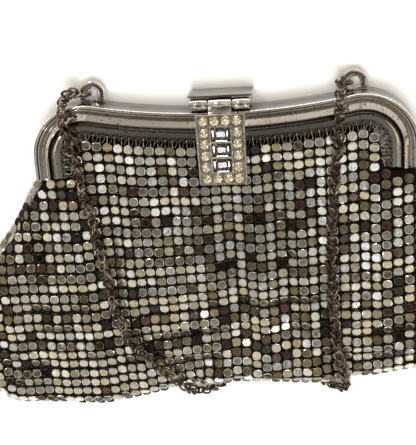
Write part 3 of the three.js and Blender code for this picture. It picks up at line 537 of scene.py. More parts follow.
def table_cloth():
    """A pale cloth over the table, with a faint weave and faint unevenness."""
    finish = Finish("table_cloth", (0.84, 0.84, 0.83), 0.9, metallic=0.0)
    cloud = finish.noise(9, 3)
    finish.use("Base Color", finish.mix(cloud, (0.80, 0.80, 0.79), (0.88, 0.88, 0.875)))
    finish.bump(finish.noise(700, 3), 0.2, 0.0003)
    return finish.material


NICKEL = polished_nickel()
TILE = tile_metal()
RINGS = ring_wire()
WIRE = bright_wire()
CHAIN = tarnished_chain()
GILT = worn_gilt()
WEB = shaded_web()

# %% [markdown]
# ## The table
# A plain pale sheet under the purse, wide enough to fill every view.

# %% Table
TABLE_HALF = 1.6
table_mesh = bpy.data.meshes.new("table")
table_corners = [(x * TABLE_HALF, y * TABLE_HALF, -0.0001) for x, y in ((-1, -1), (1, -1), (1, 1), (-1, 1))]
table_mesh.from_pydata(table_corners, [], [(0, 1, 2, 3)])
table_mesh.materials.append(table_cloth())
table = bpy.data.objects.new("table", table_mesh)
bpy.context.collection.objects.link(table)

# %% [markdown]
# ## The frame's outline
# Both halves of the frame follow one line: an arm, a round shoulder, the slightly hollow top bar, and the
# same again. A place on it is a distance from the bar's middle and an inset from its outer edge, so every
# rib, hole and wire of the frame runs true to its neighbours.

# %% Outline
BAR_LENGTH = BAR_RADIUS * SWEEP
SHOULDER_LENGTH = CORNER_RADIUS * (math.pi / 2 + SWEEP)
HALF_LENGTH = BAR_LENGTH + SHOULDER_LENGTH + ARM_DROP


def outline(along, inset):
    """x and y on the frame's line: along in mm from the middle, measured on the outer edge, and inset."""
    far = np.abs(along)
    on_bar = np.minimum(far, BAR_LENGTH) / BAR_RADIUS
    bar_x = (BAR_RADIUS + inset) * np.sin(on_bar)
    bar_y = BAR_RADIUS - (BAR_RADIUS + inset) * np.cos(on_bar)
    turned = math.pi / 2 + SWEEP - np.clip(far - BAR_LENGTH, 0, SHOULDER_LENGTH) / CORNER_RADIUS
    down = np.maximum(0, far - BAR_LENGTH - SHOULDER_LENGTH)
    round_x = CORNER_X + (CORNER_RADIUS - inset) * np.cos(turned)
    round_y = CORNER_Y + (CORNER_RADIUS - inset) * np.sin(turned) - down
    bar = far <= BAR_LENGTH
    return np.where(along < 0, -1, 1) * np.where(bar, bar_x, round_x), np.where(bar, bar_y, round_y)


def frame_stations():
    """Distances along the outline: wide steps on the bar, close ones round the shoulders."""
    bar = np.linspace(0, BAR_LENGTH, 26)
    shoulder = BAR_LENGTH + np.linspace(0, SHOULDER_LENGTH, 40)[1:]
    arm = BAR_LENGTH + SHOULDER_LENGTH + np.linspace(0, ARM_DROP, 6)[1:]
    half = np.concatenate([bar, shoulder, arm])
    return np.concatenate([-half[:0:-1], half])


STATIONS = frame_stations()

# %% [markdown]
# ## The two frame halves
# Each half is pressed from sheet: a round bead on the outer edge, a second thin bead, a plain strip, a
# crowned rail and a low flange that the mesh is laced to. The section is a list of arcs and straight runs,
# carried along the outline. The flange's inner edge has a row of round holes for the lacing.

# %% Section of a half
BEAD = 1.3
BEAD_SET = 0.6
SECOND_BEAD = 0.7
RAIL_FROM, RAIL_TO = 3.2, 8.0
RAIL_RISE = 1.9
RIDGE = 5.5
CLIMB_EASE = 1.08
# Inner slope of the rail, from the ridge: distance inwards in mm, and share of the rise
RIDGE_FALL = [(0.12, 0.97), (0.5, 0.78), (0.9, 0.5), (1.25, 0.25), (1.55, 0.08)]
FLANGE_SET = 1.0
FLANGE_EDGE = 12.0
HOLED_FROM = 10.0
CROWN = FRAME_DEPTH / 2
STRIP = CROWN - RAIL_RISE
FLANGE = STRIP - FLANGE_SET


def arc(middle, radius, start, end, count):
    """Points of an arc in the section; angles in degrees, 90 pointing out of the face."""
    turns = np.radians(np.linspace(start, end, count))
    return np.stack([middle[0] + radius[0] * np.cos(turns), middle[1] + radius[1] * np.sin(turns)], axis=1)


def frame_section():
    """Closed section: inset from the outer edge, and height out from the parting plane."""
    bead = arc((BEAD / 2, CROWN - BEAD_SET - BEAD / 2), (BEAD / 2, BEAD / 2), 180, 0, 13)
    second = arc((BEAD + SECOND_BEAD / 2 + 0.1, STRIP), (SECOND_BEAD / 2, 0.55), 180, 0, 9)
    middle = (RAIL_FROM + RAIL_TO) / 2
    half = (RAIL_TO - RAIL_FROM) / 2
    share = np.linspace(0, 1, 14)
    climb = STRIP + RAIL_RISE * (1 - (1 - share) ** CLIMB_EASE)
    climb = np.stack([RAIL_FROM + (RIDGE - RAIL_FROM) * share, climb], axis=1)
    fall = [(RIDGE + across, STRIP + RAIL_RISE * rise) for across, rise in RIDGE_FALL]
    rail = np.concatenate([climb, fall])
    under = arc((middle, STRIP - SHEET), (half - 0.5, RAIL_RISE), 0, 180, 13)
    return np.concatenate([
        [[0, PART_GAP / 2]],
        bead,
        [[BEAD + 0.08, STRIP + 0.05]],
        second,
        [[BEAD + SECOND_BEAD + 0.2, STRIP]],
        rail,
        [[RAIL_TO, FLANGE + 0.35], [RAIL_TO + 0.2, FLANGE + 0.3], [RAIL_TO + 0.45, FLANGE]],
        [[HOLED_FROM, FLANGE], [HOLED_FROM, FLANGE - SHEET], [RAIL_TO - 0.4, FLANGE - SHEET]],
        under,
        [[SHEET, STRIP - SHEET], [SHEET, PART_GAP / 2]],
    ])


def sweep_section(shell, section, side):
    """Carries a section of (inset, out) along the outline; side is 1 for the front half, -1 for the back."""
    across, out = section[:, 0], section[:, 1]
    x, y = outline(STATIONS[:, None], across[None])
    z = np.broadcast_to(MID_Z + side * out[None], x.shape)
    shell.grid(np.stack([x, y, z], axis=-1), wrap_columns=True, flip=side < 0)
    count = len(section)
    first = np.arange(count)[None]
    last = first + (len(STATIONS) - 1) * count
    base = shell.count - len(STATIONS) * count
    caps = [first[:, ::-1], last] if side < 0 else [first, last[:, ::-1]]
    shell.faces += [cap + base for cap in caps]


# %% Holes along the flange
HOLE_PITCH = 2.8
HOLE_RADIUS = 0.62
HOLE_SIDES = 10


def hole_places(inset, pitch):
    """Distances along the outer edge at which marks stand one pitch apart on the inset line."""
    fine = np.linspace(0, HALF_LENGTH, 2000)
    x, y = outline(fine, inset)
    length = np.concatenate([[0], np.cumsum(np.hypot(np.diff(x), np.diff(y)))])
    marks = int(length[-1] / pitch)
    half = np.interp(np.arange(marks + 1) * length[-1] / (marks + 0.5), length, fine)
    return np.concatenate([-half[:0:-1], half]), length[-1] / (marks + 0.5)


def holed_strip(shell, side):
    """The flange's inner edge: one cell round each hole, as an outer ring of points and the hole's ring,
    on both faces and down the hole's wall."""
    middle = (HOLED_FROM + FLANGE_EDGE) / 2
    places, _ = hole_places(middle, HOLE_PITCH)
    edges = np.concatenate([[-HALF_LENGTH], (places[1:] + places[:-1]) / 2, [HALF_LENGTH]])
    turns = np.arange(HOLE_SIDES) * 2 * np.pi / HOLE_SIDES + np.pi / HOLE_SIDES
    square = 1 / np.maximum(np.abs(np.cos(turns)), np.abs(np.sin(turns)))
    reach_low, reach_high = edges[:-1, None], edges[1:, None]
    share = (np.cos(turns) * square + 1) / 2
    outer_along = reach_low + (reach_high - reach_low) * share[None]
    outer_in = middle + (FLANGE_EDGE - HOLED_FROM) / 2 * np.sin(turns) * square
    scale = (reach_high - reach_low) / HOLE_PITCH
    hole_along = places[:, None] + HOLE_RADIUS * np.cos(turns)[None] * scale
    hole_in = middle + HOLE_RADIUS * np.sin(turns)
    heights = (FLANGE, FLANGE, FLANGE - SHEET, FLANGE - SHEET)
    rings = ((outer_along, outer_in), (hole_along, hole_in), (hole_along, hole_in), (outer_along, outer_in))
    for k in range(len(places)):
        cell = []
        for (along, inset), out in zip(rings, heights):
            x, y = outline(along[k], inset)
            cell.append(np.stack([x, y, np.full_like(x, MID_Z + side * out)], axis=-1))
        shell.grid(np.array(cell), wrap_rows=True, wrap_columns=True, flip=side > 0)


# %% Ears and halves
EAR_RADIUS = 4.2
HINGE_Y = ARM_END + EAR_RADIUS
FRONT_EAR = (FRAME_OUT - SHEET, FRAME_OUT)
BACK_EAR = (FRAME_OUT - 2 * SHEET - CLEAR, FRAME_OUT - SHEET - CLEAR)
RIVET_RADIUS = 1.3
RIVET_HEAD = 2.3
RIVET_DOME = 0.8


def lathe_x(shell, profile, y, z, sides=48):
    """A solid turned about a line along x: profile is (x, radius), from one end on the line to the other."""
    profile = np.asarray(profile, dtype=float)
    turns = np.linspace(0, 2 * np.pi, sides, endpoint=False)
    rings = np.stack([
        np.broadcast_to(profile[:, :1], (len(profile), sides)),
        y + profile[:, 1:] * np.cos(turns),
        z + profile[:, 1:] * np.sin(turns),
    ], axis=-1)
    body = rings[1:-1]
    ends = rings[[0, -1], 0]
    count = len(body) * sides
    ring = np.arange(sides)
    near = np.stack([np.full(sides, count), ring, (ring + 1) % sides], axis=1)
    base = (len(body) - 1) * sides
    far = np.stack([np.full(sides, count + 1), base + (ring + 1) % sides, base + ring], axis=1)
    side = grid_faces(len(body), sides, wrap_columns=True)
    shell.add(np.concatenate([body.reshape(-1, 3), ends]), [side, near, far])


def disc_profile(low, high, radius, edge):
    """A flat disc with its rim eased."""
    near = [(low, 0), (low, radius - edge), (low + edge, radius)]
    return near + [(high - edge, radius), (high, radius - edge), (high, 0)]


# Painted shade: what brightness the plate keeps in each place, and where two of them lie as insets from the
# outer edge
WALL_SHADE = 0.24
HOLLOW_SHADE = 0.05
HOLLOW_FROM, HOLLOW_TO = RIDGE + 0.2, RIDGE + 1.6
VALLEY_SHADE = 0.35
VALLEY_FROM, VALLEY_TO = BEAD * 0.93, BEAD + 0.12
STRIP_AND_EAR_SHADE = 0.5
EAR_EDGE = 0.15


def painted_shade_tint(shell, section):
    """Painted shade on a half's points: its side walls are darkened, and so are the hollow beside the rail,
    the valley between the beads, and the holed strip and ears, whose points come last."""
    inset, out = section.T
    wall = (inset < 0.3) & (out < CROWN - BEAD_SET - BEAD / 2 + 0.01)
    hollow = (inset > HOLLOW_FROM) & (inset < HOLLOW_TO) & (out > FLANGE)
    valley = (inset > VALLEY_FROM) & (inset < VALLEY_TO) & (out > CROWN / 2)
    shade = np.select([wall, hollow, valley], [WALL_SHADE, HOLLOW_SHADE, VALLEY_SHADE], 1.0)
    tone = np.full(shell.count, STRIP_AND_EAR_SHADE)
    tone[:len(shade) * len(STATIONS)] = np.tile(shade, len(STATIONS))
    return tone[:, None] * np.ones(3)


for side, name in ((1, "front_frame"), (-1, "back_frame")):
    half = Shell()
    section = frame_section()
    sweep_section(half, section, side)
    holed_strip(half, side)
    ear = FRONT_EAR if side > 0 else BACK_EAR
    for hand in (-1, 1):
        low, high = sorted((hand * ear[0], hand * ear[1]))
        lathe_x(half, disc_profile(low, high, EAR_RADIUS, EAR_EDGE), HINGE_Y, MID_Z)
    # The tint of each half is painted shade on its walls, hollow, valley, holed strip and ears
    add_piece(name + "_metal", half, NICKEL, [name], tint=painted_shade_tint(half, section))

rivets = Shell()
for hand in (-1, 1):
    dome_turns = np.radians(np.linspace(0, 90, 8))
    inside, outside = BACK_EAR[0] - CLEAR, FRAME_OUT + CLEAR / 2
    outer = [(outside + RIVET_DOME * math.cos(t), RIVET_HEAD * math.sin(t)) for t in dome_turns]
    inner = [(inside - RIVET_DOME * math.cos(t), RIVET_HEAD * math.sin(t)) for t in dome_turns]
    profile = inner + [(inside, RIVET_RADIUS), (outside, RIVET_RADIUS)] + outer[::-1]
    profile = [(hand * x, radius) for x, radius in profile]
    lathe_x(rivets, profile if hand > 0 else profile[::-1], HINGE_Y, MID_Z, 32)
add_piece("frame_rivets", rivets, NICKEL, ["frame_rivet_left", "frame_rivet_right"])

# %% [markdown]
# ## The lacing
# A spiral of wire passes through each hole of the flange and round the mesh's first row of rings. It is one
# helix carried along the inset outline, one turn to a hole.

# %% Lacing
LACE_RADIUS = 1.1
LACE_FIT = 0.25
LACE_WIRE = 0.24
LACE_IN = FLANGE_EDGE + LACE_FIT + LACE_RADIUS
LACE_SWAY = 0.11
LACE_SIDES = 6
TURN_STEPS = 16


def spiral(side):
    """One turn per hole: up through the hole, over the flange's edge, and back behind it. The square roots
    make the turn boxy, so that it clears the flange, and most of its way along is made behind."""
    hole_in = (HOLED_FROM + FLANGE_EDGE) / 2
    places, _ = hole_places(hole_in, HOLE_PITCH)
    turns = np.arange((len(places) - 1) * TURN_STEPS + 1) / TURN_STEPS
    angle = turns * 2 * np.pi
    along = np.interp(turns + LACE_SWAY * (np.cos(angle) - 1), np.arange(len(places)), places)
    across = np.sign(np.cos(angle)) * np.sqrt(np.abs(np.cos(angle)))
    out = np.sign(np.sin(angle)) * np.sqrt(np.abs(np.sin(angle)))
    low_in = LACE_IN + LACE_RADIUS
    x, y = outline(along, (hole_in + low_in) / 2 - (low_in - hole_in) / 2 * across)
    height = MID_Z + side * (FLANGE - SHEET / 2 + (LACE_RADIUS - LACE_WIRE) * out)
    return np.stack([x, y, height], axis=1)


for side, name in ((1, "front_lacing"), (-1, "back_lacing")):
    wire = Shell()
    add_wire(wire, spiral(side), LACE_WIRE, LACE_SIDES)
    add_piece(name + "_wire", wire, WIRE, [name], smooth=180)

# %% [markdown]
# ## How the bag lies
# The bag is laced to the frame above, flares out below the arms, and rests on the table; its front is fuller
# in the middle, falls in gathers from the frame, ripples lower down and rises over the hidden stretch of the
# chain. The same few tables that shape the solid give the height of both faces at any place of the plan.

# %% The bag's plan
MESH_IN = LACE_IN + LACE_RADIUS + LACE_FIT
MESH_START = FRAME_OUT - MESH_IN
SEAM_Y = ARM_END - 2 * CLEAR
SEAM_HALF = 1.4
SEAM_DROP = 22.0
SIDE_ROUND = 9.0
BAG_DEPTH = 101.5
BAG_LEFT, BAG_RIGHT = 107.0, 104.0
BAG_FULL = 10.6
# Upper side edges: share of the reach beyond the arm, share of the depth below the arm's end
SIDE_SHAPE = np.array([
    (0.0, 0.0), (0.3, 0.01), (0.42, 0.09), (0.5, 0.15), (0.58, 0.21), (0.75, 0.31), (0.88, 0.43),
    (0.96, 0.54), (1.0, 0.64),
])
# Lower edge from left to right: share of the reach on that side, share of the depth
LOWER_EDGE = np.array([
    (-1.0, 0.85), (-0.984, 0.915), (-0.953, 0.96), (-0.9, 0.987), (-0.71, 0.989), (-0.56, 0.997),
    (-0.48, 0.983), (-0.37, 0.957), (-0.26, 0.928), (-0.13, 0.9), (0.0, 0.874), (0.12, 0.889), (0.31, 0.886),
    (0.52, 0.881), (0.69, 0.851), (0.83, 0.825), (0.92, 0.797), (0.966, 0.777), (1.0, 0.74),
])
# Height of the front from the bar down: share of the drop, share of BAG_FULL
FULLNESS = np.array([
    (0.0, 1.2), (0.08, 1.1), (0.25, 1.03), (0.5, 1.0), (0.75, 0.88), (0.9, 0.72), (1.0, 0.62),
])
# Gathers: middle and lean as shares of the half width, width and depth in mm, from and to along the drop
GATHERS = [
    (-0.66, -0.12, 5.5, 1.3, 0.1, 0.6),
    (-0.42, -0.05, 5.0, 1.7, 0.0, 0.7),
    (-0.22, 0.02, 4.5, 1.3, 0.0, 0.5),
    (-0.02, 0.08, 4.5, 1.9, 0.2, 1.0),
    (0.18, 0.04, 4.5, 2.2, 0.05, 1.0),
    (0.31, 0.06, 4.5, 1.7, 0.05, 0.85),
    (0.47, 0.03, 5.0, 1.4, 0.0, 0.75),
    (0.68, 0.1, 6.0, 1.5, 0.1, 0.8),
]
GATHER_FADE = 0.1
MOUTH_DROP = 0.12
RIPPLE_PITCH, RIPPLE_HIGH = 12.5, 0.7
RIPPLE_RANGE = (0.55, 0.7, 0.9, 1.0)
CHAIN_LIFT, CHAIN_LIFT_NEAR, CHAIN_LIFT_FAR, FRONT_LIFT = 5.5, 3.2, 13.0, 0.8


def upper_edge(x):
    """y of the bag's upper edge: along the lacing between the arms, and down the free sides beyond them."""
    wide = np.abs(x)
    shoulder = CORNER_RADIUS - MESH_IN
    bar = BAR_RADIUS - np.sqrt((BAR_RADIUS + MESH_IN) ** 2 - x * x)
    corner = CORNER_Y + np.sqrt(np.maximum(0, shoulder ** 2 - (wide - CORNER_X) ** 2))
    reach = np.where(x < 0, BAG_LEFT, BAG_RIGHT)
    share = (wide - MESH_START) / (reach - MESH_START)
    side = SEAM_Y - BAG_DEPTH * np.interp(share, SIDE_SHAPE[:, 0], SIDE_SHAPE[:, 1])
    bar_end = (BAR_RADIUS + MESH_IN) * math.sin(SWEEP)
    return np.where(wide < bar_end, bar, np.where(wide <= MESH_START, corner, side))


def lower_edge(x):
    """The bag's lower edge in plan: its y at each x."""
    share = x / np.where(x < 0, BAG_LEFT, BAG_RIGHT)
    return SEAM_Y - BAG_DEPTH * np.interp(share, LOWER_EDGE[:, 0], LOWER_EDGE[:, 1])


# %% [markdown]
# ## The chain's route
# The chain lies over the flap side of the bag, passes below its lower edge and comes back: a list of given
# points, joined by a smooth curve. The bag needs it too, because its edge lies over the chain.

# %% Route of the chain
CHAIN_ROUTE = np.array([
    (-54.9, 8.9, 8.5), (-56.4, 9.3, 11.4), (-58.4, 8.2, 14.6), (-59.4, 5.0, 17.2),
    (-59.5, 0.0, 17.7), (-59.0, -7.0, 17.0), (-57.6, -15.0, 15.4), (-56.5, -23.0, 14.4),
    (-55.2, -31.0, 13.9), (-53.9, -39.0, 13.8), (-52.6, -47.0, 13.4), (-51.6, -55.0, 13.2),
    (-50.0, -65.0, 12.7), (-48.8, -74.0, 12.3), (-47.0, -83.5, 12.8), (-43.6, -93.0, 12.3),
    (-38.6, -100.0, 11.5), (-31.8, -106.5, 10.9), (-26.5, -112.5, 9.9), (-22.5, -116.6, 8.2),
    (-18.0, -120.4, 4.8), (-12.5, -120.4, 2.5), (-7.0, -117.0, 2.4), (-2.0, -112.6, 2.4),
    (5.0, -109.2, 2.4), (15.0, -108.0, 2.4), (25.0, -110.0, 2.4), (32.0, -115.2, 2.4),
    (37.5, -119.0, 2.4), (42.2, -120.0, 4.4), (44.0, -116.0, 8.5), (43.0, -110.0, 10.6),
    (41.4, -103.5, 11.4), (40.6, -96.0, 11.5), (39.9, -88.0, 11.8), (39.3, -78.0, 11.9),
    (39.2, -66.0, 12.7), (39.3, -54.0, 13.2), (40.2, -44.0, 13.6), (41.3, -34.0, 13.9),
    (42.2, -25.0, 14.1), (43.2, -16.0, 15.1), (43.8, -8.0, 17.1), (44.3, -1.0, 17.7),
    (44.6, 4.4, 17.3), (44.9, 7.6, 14.6), (45.0, 8.9, 11.4), (45.0, 9.0, 8.5),
])
# The points of the route between which the bag hides the chain
HIDDEN_STRETCH = (22, 29)
# Points of the curve from one point of the route to the next
ROUTE_STEPS = 24


def smooth_path(points, steps):
    """Catmull-Rom curve through the points, its knots spaced by the root of each chord."""
    ends = np.concatenate([[2 * points[0] - points[1]], points, [2 * points[-1] - points[-2]]])
    chords = np.linalg.norm(np.diff(ends, axis=0), axis=1) ** 0.5
    t = (np.arange(steps) / steps)[None, :, None]
    p0, p1, p2, p3 = (ends[k:len(ends) - 3 + k, None] for k in range(4))
    d0, d1, d2 = (chords[k:len(chords) - 2 + k, None, None] for k in range(3))
    start = ((p1 - p0) / d0 - (p2 - p0) / (d0 + d1) + (p2 - p1) / d1) * d1
    end = ((p2 - p1) / d1 - (p3 - p1) / (d1 + d2) + (p3 - p2) / d2) * d1
    curve = (p1 + start * t + (-3 * p1 + 3 * p2 - 2 * start - end) * t ** 2
             + (2 * p1 - 2 * p2 + start + end) * t ** 3)
    return np.concatenate([curve.reshape(-1, points.shape[1]), points[-1:]])


ROUTE = smooth_path(CHAIN_ROUTE, ROUTE_STEPS)
hidden_from, hidden_to = HIDDEN_STRETCH[0] * ROUTE_STEPS, (HIDDEN_STRETCH[1] - 1) * ROUTE_STEPS
hidden_chain = ROUTE[hidden_from:hidden_to + 1:4, :2]
print("chain length", round(float(np.linalg.norm(np.diff(ROUTE, axis=0), axis=1).sum()), 1), "mm")


# %% Heights of the bag's faces
def edge_places():
    """Close points on the bag's doubled edges, all but its mouth."""
    x = np.linspace(-BAG_LEFT, BAG_RIGHT, 401)
    free = x[np.abs(x) > MESH_START]
    share = np.linspace(0, 1, 25)
    ends = np.array([-BAG_LEFT, BAG_RIGHT])
    rise = upper_edge(ends)[:, None] * (1 - share) + lower_edge(ends)[:, None] * share
    places = [np.stack([x, lower_edge(x)], 1), np.stack([free, upper_edge(free)], 1)]
    places += [np.stack([np.full(25, end), y], 1) for end, y in zip(ends, rise)]
    return np.concatenate(places)


EDGE_PLACES = edge_places()
# Distances are worked out in this many parts, which keeps the arrays small
NEAREST_PARTS = 60
# Fine waves across the bag: length in mm, lean, phase, height in mm
WAVES = [(9.5, 0.10, 0.4, 0.30), (14.0, -0.16, 2.1, 0.35), (21.0, 0.05, 4.0, 0.30)]


def nearest(x, y, places):
    """Distance from each place to the nearest of some points."""
    flat = np.stack([np.ravel(x), np.ravel(y)], axis=1)
    parts = np.array_split(flat, NEAREST_PARTS)
    least = [np.linalg.norm(part[:, None] - places[None], axis=2).min(axis=1) for part in parts]
    return np.concatenate(least).reshape(np.shape(x))


def folds(x, y, drop):
    """Fine folds that the solid leaves out: shallow waves across the bag, which come and go."""
    waves = 0.0
    for length, lean, shift, high in WAVES:
        swell = 0.5 + 0.5 * np.sin(x / 23.0 + shift * 2 + y / 60.0)
        waves = waves + high * swell * np.sin(2 * np.pi * (y + lean * x) / length + shift)
    upright = 0.25 * np.sin(2 * np.pi * (x + 0.1 * y) / 17.0 + 1.3) * (0.5 + 0.5 * np.sin(y / 19.0))
    return (waves + upright) * smooth_step(0.02, 0.2, drop)


def bag_heights(x, y):
    """Heights of the front and the back. A quarter-round by the distance to the edge joins the doubled seam
    to the full height; gathers are valleys with a bell-shaped section; the ripple is a cosine down the
    bag."""
    drop = (-y - MESH_IN) / BAG_DEPTH
    inside = (y < upper_edge(x) + 0.01) & (y > lower_edge(x) - 0.01)
    inside = inside & (x > -BAG_LEFT - 0.01) & (x < BAG_RIGHT + 0.01)
    near = np.where(inside, np.minimum(1, nearest(x, y, EDGE_PLACES) / SIDE_ROUND), 0)
    at_mouth = (np.abs(x) < MESH_START) & (y >= upper_edge(x) - 0.01)
    near = np.where(at_mouth, 1, near)
    fill = np.sqrt(1 - (1 - near) ** 2)
    seam = MID_Z + (SEAM_HALF - MID_Z) * smooth_step(0, SEAM_DROP, SEAM_Y - y)
    half_wide = (BAG_LEFT + BAG_RIGHT) / 2
    gathered = 0.0
    for at, lean, wide, deep, begin, end in GATHERS:
        middle = (at + lean * drop) * half_wide
        begun = smooth_step(begin - GATHER_FADE, begin + GATHER_FADE, drop)
        left = 1 - smooth_step(end - 2 * GATHER_FADE, end, drop)
        gathered = gathered + deep * begun * left * np.exp(-(((x - middle) / wide) ** 2))
    low, full_on, fade, gone = RIPPLE_RANGE
    ripple = RIPPLE_HIGH * smooth_step(low, full_on, drop) * (1 - smooth_step(fade, gone, drop))
    ripple = ripple * np.cos(2 * np.pi * y / RIPPLE_PITCH)
    full = BAG_FULL * np.interp(drop, FULLNESS[:, 0], FULLNESS[:, 1]) - gathered + ripple + folds(x, y, drop)
    lift = CHAIN_LIFT * (1 - smooth_step(CHAIN_LIFT_NEAR, CHAIN_LIFT_FAR, nearest(x, y, hidden_chain)))
    mouth_rise = (FRAME_DEPTH - BAG_FULL * FULLNESS[0, 1]) * (1 - smooth_step(0, MOUTH_DROP, drop))
    front = (seam + SEAM_HALF) * (1 - fill) + full * fill + lift * FRONT_LIFT
    back = (seam - SEAM_HALF) * (1 - fill) + mouth_rise * fill + lift
    return np.maximum(front, back + 2 * SEAM_HALF), back


# %% [markdown]
# ## Where each tile sits
# The mesh hangs in straight columns one pitch apart. Down each column the tiles are spaced along the surface
# itself, counted up from the lower edge, so rows crowd together where the bag steepens or ripples, just as
# they do in the photograph, and the last row follows the lower edge.

# %% Tile places
COLUMN_PITCH = 4.0
ROW_PITCH = 4.15
PATH_STEPS = 260
MOUTH_REACH = 1.1
# Where the bag is widest, as a share of its depth
WIDEST = 0.695
# How far from a tile's middle the surface's slope is taken, and the steepest slope that a tile follows
SLOPE_REACH, STEEPEST = 1.1, 2.2
random = np.random.default_rng(7)


def spaced(x, length, gaps):
    """Middles of equal parts of a length, as x."""
    return np.interp((np.arange(gaps) + 0.5) * length[-1] / gaps, length, x)


def column_lines():
    """x of each column: evenly between the arms; beyond them the surface turns down, so columns stand closer
    in plan, evenly along the section of the front at its widest."""
    between = int(round(2 * MESH_START / COLUMN_PITCH))
    middle = spaced(np.array([-MESH_START, MESH_START]), np.array([0, 2 * MESH_START]), between)
    sides = []
    for reach in (-BAG_LEFT, BAG_RIGHT):
        x = np.linspace(np.sign(reach) * MESH_START, reach - np.sign(reach) * 0.02, 600)
        z, _ = bag_heights(x, np.full_like(x, SEAM_Y - WIDEST * BAG_DEPTH))
        plain = np.abs(reach - x) < SIDE_ROUND
        step = np.where(plain[1:], np.hypot(np.diff(x), np.diff(z)), np.abs(np.diff(x)))
        length = np.concatenate([[0], np.cumsum(step)])
        sides.append(spaced(x, length, int(length[-1] / COLUMN_PITCH)))
    return np.concatenate([sides[0][::-1], middle, sides[1]])


def tile_rows(is_front):
    """Centres of the tiles as a grid (rows up from the lower edge, columns), nan where there is none."""
    columns = column_lines()
    top = upper_edge(columns) + np.where(np.abs(columns) < MESH_START, MOUTH_REACH, 0)
    low = lower_edge(columns)
    share = 0.5 - 0.5 * np.cos(np.pi * np.linspace(0, 1, PATH_STEPS))
    y = top[:, None] + (low - top)[:, None] * share[None]
    x = np.broadcast_to(columns[:, None], y.shape)
    front, back = bag_heights(x, y)
    z = front if is_front else back
    step = np.hypot(np.diff(y, axis=1), np.diff(z, axis=1))
    from_low = np.cumsum(step[:, ::-1], axis=1)[:, ::-1]
    from_low = np.concatenate([from_low, np.zeros((len(columns), 1))], axis=1)
    length = from_low[:, 0]
    mouth = np.abs(columns) < MESH_START
    rows = int(round(length[mouth].mean() / ROW_PITCH))
    pitch = np.where(mouth, length / rows, 0)
    inner = np.flatnonzero(mouth)
    pitch[:inner[0]] = pitch[inner[:4]].mean()
    pitch[inner[-1] + 1:] = pitch[inner[-4:]].mean()
    centres = np.full((rows + 4, len(columns), 3), np.nan)
    for k, (line, gap) in enumerate(zip(columns, pitch)):
        count = min(int((length[k] - 0.35 * gap) / gap + 0.5), rows + 4)
        at = (np.arange(count) + 0.5) * gap
        centres[:count, k, 0] = line
        centres[:count, k, 1] = np.interp(at, from_low[k, ::-1], y[k, ::-1])
        centres[:count, k, 2] = np.interp(at, from_low[k, ::-1], z[k, ::-1])
    return centres


def surface_axes(centres, is_front):
    """Three unit axes at each centre: along the row, up the column and out of the face."""
    x, y = centres[:, 0], centres[:, 1]
    steps = ((SLOPE_REACH, 0), (-SLOPE_REACH, 0), (0, SLOPE_REACH), (0, -SLOPE_REACH))
    sides = [bag_heights(x + dx, y + dy)[0 if is_front else 1] for dx, dy in steps]
    slope_x = np.clip((sides[0] - sides[1]) / (2 * SLOPE_REACH), -STEEPEST, STEEPEST)
    slope_y = np.clip((sides[2] - sides[3]) / (2 * SLOPE_REACH), -STEEPEST, STEEPEST)
    out = unit(np.stack([-slope_x, -slope_y, np.ones_like(x)], axis=1)) * (1 if is_front else -1)
    along = unit(np.stack([np.ones_like(x), np.zeros_like(x), slope_x], axis=1))
    up_column = unit(np.cross(out, along))
    return np.stack([np.cross(up_column, out), up_column, out], axis=2)


def turned(axes, lean_u, lean_v, spin):
    """Axes leant by small angles about their own first two axes and spun about the third."""
    u, v, n = axes[:, :, 0], axes[:, :, 1], axes[:, :, 2]
    out = unit(n + lean_u[:, None] * u + lean_v[:, None] * v)
    along = unit(u + spin[:, None] * v)
    along = unit(along - out * np.sum(out * along, axis=1, keepdims=True))
    return np.stack([along, np.cross(out, along), out], axis=2)


# %% [markdown]
# ## One tile, its rings and its prongs
# A tile is a small flat plate with rounded corners and a bevelled rim. Every corner hangs on a ring that it
# shares with its three neighbours, and two bent prongs at its top pass to the tile above.

# %% Small shapes
TILE_HALF = 1.87
TILE_THICK = 0.62
TILE_SIDES = 12
TILE_SQUARE = 2.8
TILE_SQUAT = 0.95
# From the base to the top: share of the tile's size, and depth below the top as a share of its thickness
TILE_LEVELS = ((0.90, 1.0), (1.0, 0.60), (1.0, 0.34), (0.95, 0.11), (0.83, 0.0))


def tile_shape():
    """Rings of points of a squarish oval, |x|^p + |y|^p = 1: base, rim, bevel; top at height 0."""
    turns = (np.arange(TILE_SIDES) + 0.5) * 2 * np.pi / TILE_SIDES
    cos, sin = np.cos(turns), np.sin(turns)
    reach = (np.abs(cos) ** TILE_SQUARE + np.abs(sin) ** TILE_SQUARE) ** (-1 / TILE_SQUARE)
    ring = np.stack([cos * reach, sin * reach * TILE_SQUAT], axis=1) * TILE_HALF
    points = np.concatenate([
        np.column_stack([ring * size, np.full(TILE_SIDES, -deep * TILE_THICK)]) for size, deep in TILE_LEVELS
    ])
    ends = np.arange(TILE_SIDES)
    caps = [ends[None, ::-1], ends[None] + (len(TILE_LEVELS) - 1) * TILE_SIDES]
    return points, [grid_faces(len(TILE_LEVELS), TILE_SIDES, wrap_columns=True)[:, ::-1], *caps]


def ring_shape(radius, wire, steps, sides):
    """A ring lying in its own plane, its middle at the origin."""
    turns = np.linspace(0, 2 * np.pi, steps, endpoint=False)
    path = np.stack([radius * np.cos(turns), radius * np.sin(turns), 0 * turns], axis=1)
    around = np.linspace(0, 2 * np.pi, sides, endpoint=False)
    out = path[:, None] * (1 + wire / radius * np.cos(around)[None, :, None])
    out[:, :, 2] += wire * np.sin(around)[None]
    return out.reshape(-1, 3), [grid_faces(steps, sides, True, True)]


